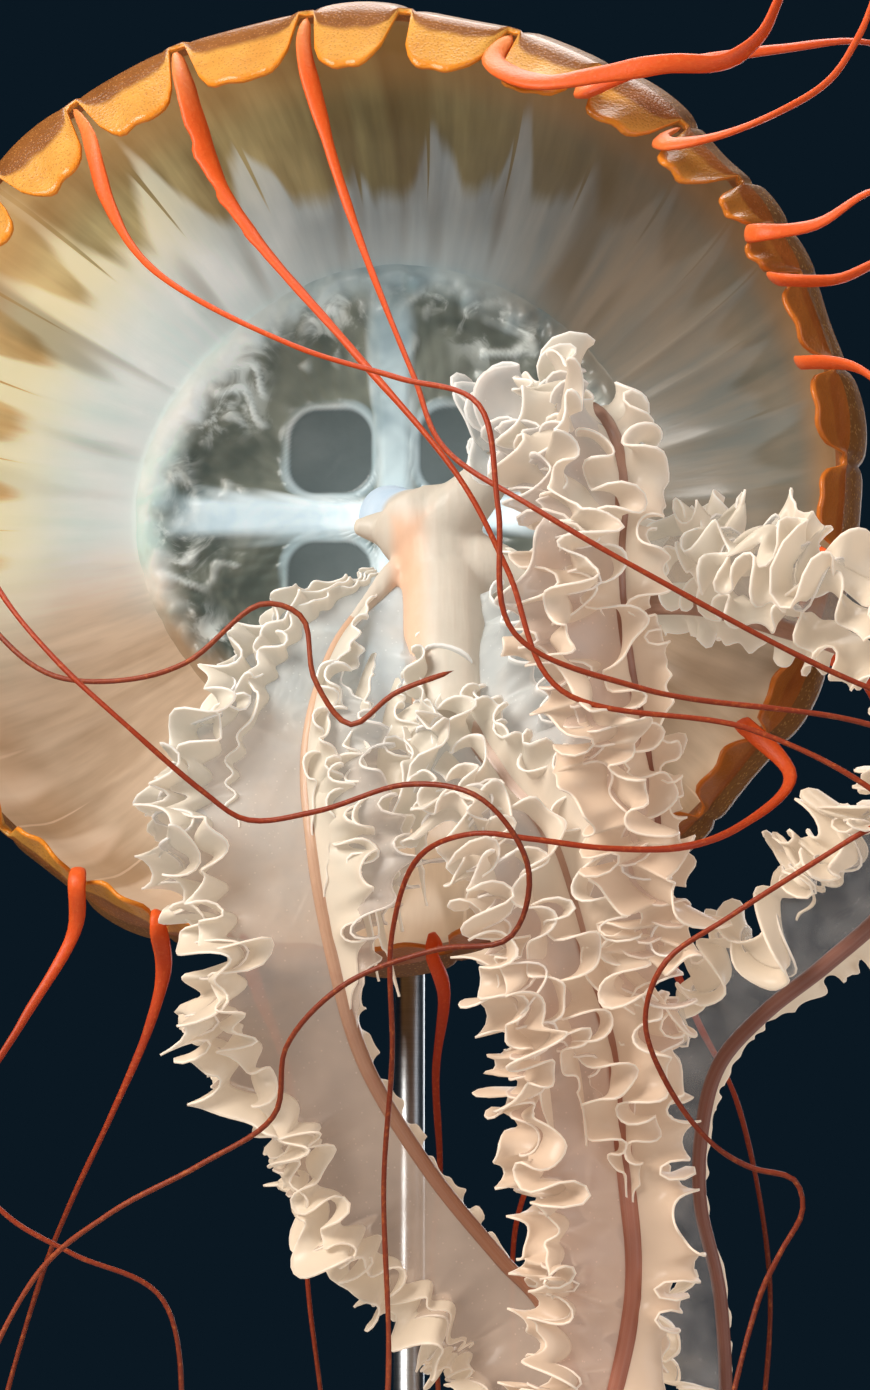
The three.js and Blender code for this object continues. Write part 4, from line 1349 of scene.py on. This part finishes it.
def turned(profile, steps, centre=(0, 0)):
    """A solid of revolution about an upright axis, from (radius, height) in millimetres."""

    def shape(u, v):
        radius, height = at(np.array(profile, float), v).T
        x = centre[0] + radius * np.cos(2 * math.pi * u)
        y = centre[1] + radius * np.sin(2 * math.pi * u)
        return MM * np.stack([x, y, height], axis=-1)

    return grid(steps, len(profile) - 1, shape)


def build_stand():
    disc = Piece("stand_base_disc", [make_enamel()])
    edge = [(148 + 2 * math.sin(a), 2 - 2 * math.cos(a)) for a in np.linspace(0, math.pi / 2, 7)]
    top = [(146 + 4 * math.cos(a), 10 + 4 * math.sin(a)) for a in np.linspace(0, math.pi / 2, 10)]
    profile = [(0, 0), (60, 0), *edge, *top, (120, 14), (60, 14), (0, 14)]
    disc.add(turned(profile, 180), own_frame=False)
    crease(disc.finish("stand_base", "stand_base"))
    rod = Piece("stand_rod_polished", [make_steel()])
    profile = [
        (0, 4), (4, 4), (4, 14.35), (13, 14.35), (13, 18), (12.6, 18.9), (11.5, 19.5),
        (6, 20.5), (4.6, 21.2), (4, 22.5), (4, 517.5), (3.6, 518.6), (2.6, 519), (0, 519),
    ]
    rod.add(turned(profile, 64, ROD_PLACE), own_frame=False)
    crease(rod.finish("stand_rod", "stand_rod"))


def crease(piece):
    """Sharp edges on the turned parts stay sharp under smooth shading."""
    bm = bmesh.new()
    bm.from_mesh(piece.data)
    for edge in bm.edges:
        if edge.is_manifold and edge.calc_face_angle() > math.radians(32):
            edge.smooth = False
    bm.to_mesh(piece.data)
    bm.free()


# ---------------------------------------------------------------- studio


def soft_light(name, spot, target, size, power, colour):
    light = bpy.data.lights.new(name, "AREA")
    light.shape = "DISK"
    light.size, light.energy, light.color = size, power, colour
    lamp = add_object(name, light)
    lamp.location = spot
    lamp.rotation_euler = (Vector(target) - Vector(spot)).to_track_quat("-Z", "Y").to_euler()
    lamp.visible_camera = False


def build_studio():
    bm = bmesh.new()
    bmesh.ops.create_grid(bm, x_segments=2, y_segments=2, size=30)
    floor = add_object("studio_floor", mesh_of(bm, "studio_floor"))
    floor.data.materials.append(make_floor())
    floor.location.z = -0.0005

    bell = (0, -0.02, 0.58)
    soft_light("key", (-0.85, -0.95, 1.15), bell, 0.9, 34, (1.0, 0.97, 0.92))
    soft_light("fill", (1.1, -0.9, 0.55), bell, 1.2, 8, (0.9, 0.94, 1.0))
    soft_light("top", (0.1, 0.25, 1.7), bell, 0.9, 16, (1.0, 0.97, 0.92))
    soft_light("back", (0.35, 1.1, 0.9), bell, 1.0, 7, (0.92, 0.96, 1.0))

    scene = bpy.context.scene
    scene.world = bpy.data.worlds.new("studio")
    scene.world.use_nodes = True
    background = scene.world.node_tree.nodes["Background"].inputs
    background["Color"].default_value = paint(*BACKGROUND)
    background["Strength"].default_value = 1.0

    scene.view_settings.view_transform = "Standard"
    cycles = scene.cycles
    cycles.max_bounces = cycles.transmission_bounces = 2
    cycles.diffuse_bounces = cycles.glossy_bounces = 2

    camera = add_object("camera", bpy.data.cameras.new("camera"))
    camera.data.lens = 67.18
    camera.data.sensor_width = 36
    camera.data.clip_start = 0.02
    camera.location = (0.0158, -0.6474, 0.3633)
    camera.rotation_euler = (math.radians(105), 0, 0)
    scene.camera = camera


# ---------------------------------------------------------------- assembly

build_bell()
build_gonads()
build_manubrium()
pale_rib = make_flesh("upper rib flesh", (238, 218, 204), (178, 96, 70), (110, 56, 36))
left_rib = make_flesh("left rib flesh", (226, 184, 150), (172, 104, 66), (96, 44, 24))
dark_rib = make_flesh("far rib flesh", (214, 168, 146), (140, 70, 56), (80, 34, 24))
cream = make_frill("cream frill", (234, 212, 186), 0.75, 1)
cream_sheet = make_frill("cream sheet", (200, 172, 150), 0.9, 0.46)
peach = make_frill("peach frill", (226, 194, 166), 0.8, 1)
peach_sheet = make_frill("peach sheet", (218, 182, 158), 0.9, 0.56)
clear_sheet = make_frill("clear sheet", (150, 146, 144), 0.7, 0.14)
build_arm("left", ARMS["left"], cream_sheet, cream, left_rib)
build_arm("middle", ARMS["middle"], peach_sheet, peach, pale_rib)
build_arm("right", ARMS["right"], clear_sheet, cream, dark_rib)
build_arm("far", ARMS["far"], peach_sheet, peach, dark_rib)
build_tentacles(make_tentacle("tentacle flesh", 1.0), make_tentacle("lower tentacle flesh", 1.8))
build_stand()
build_studio()
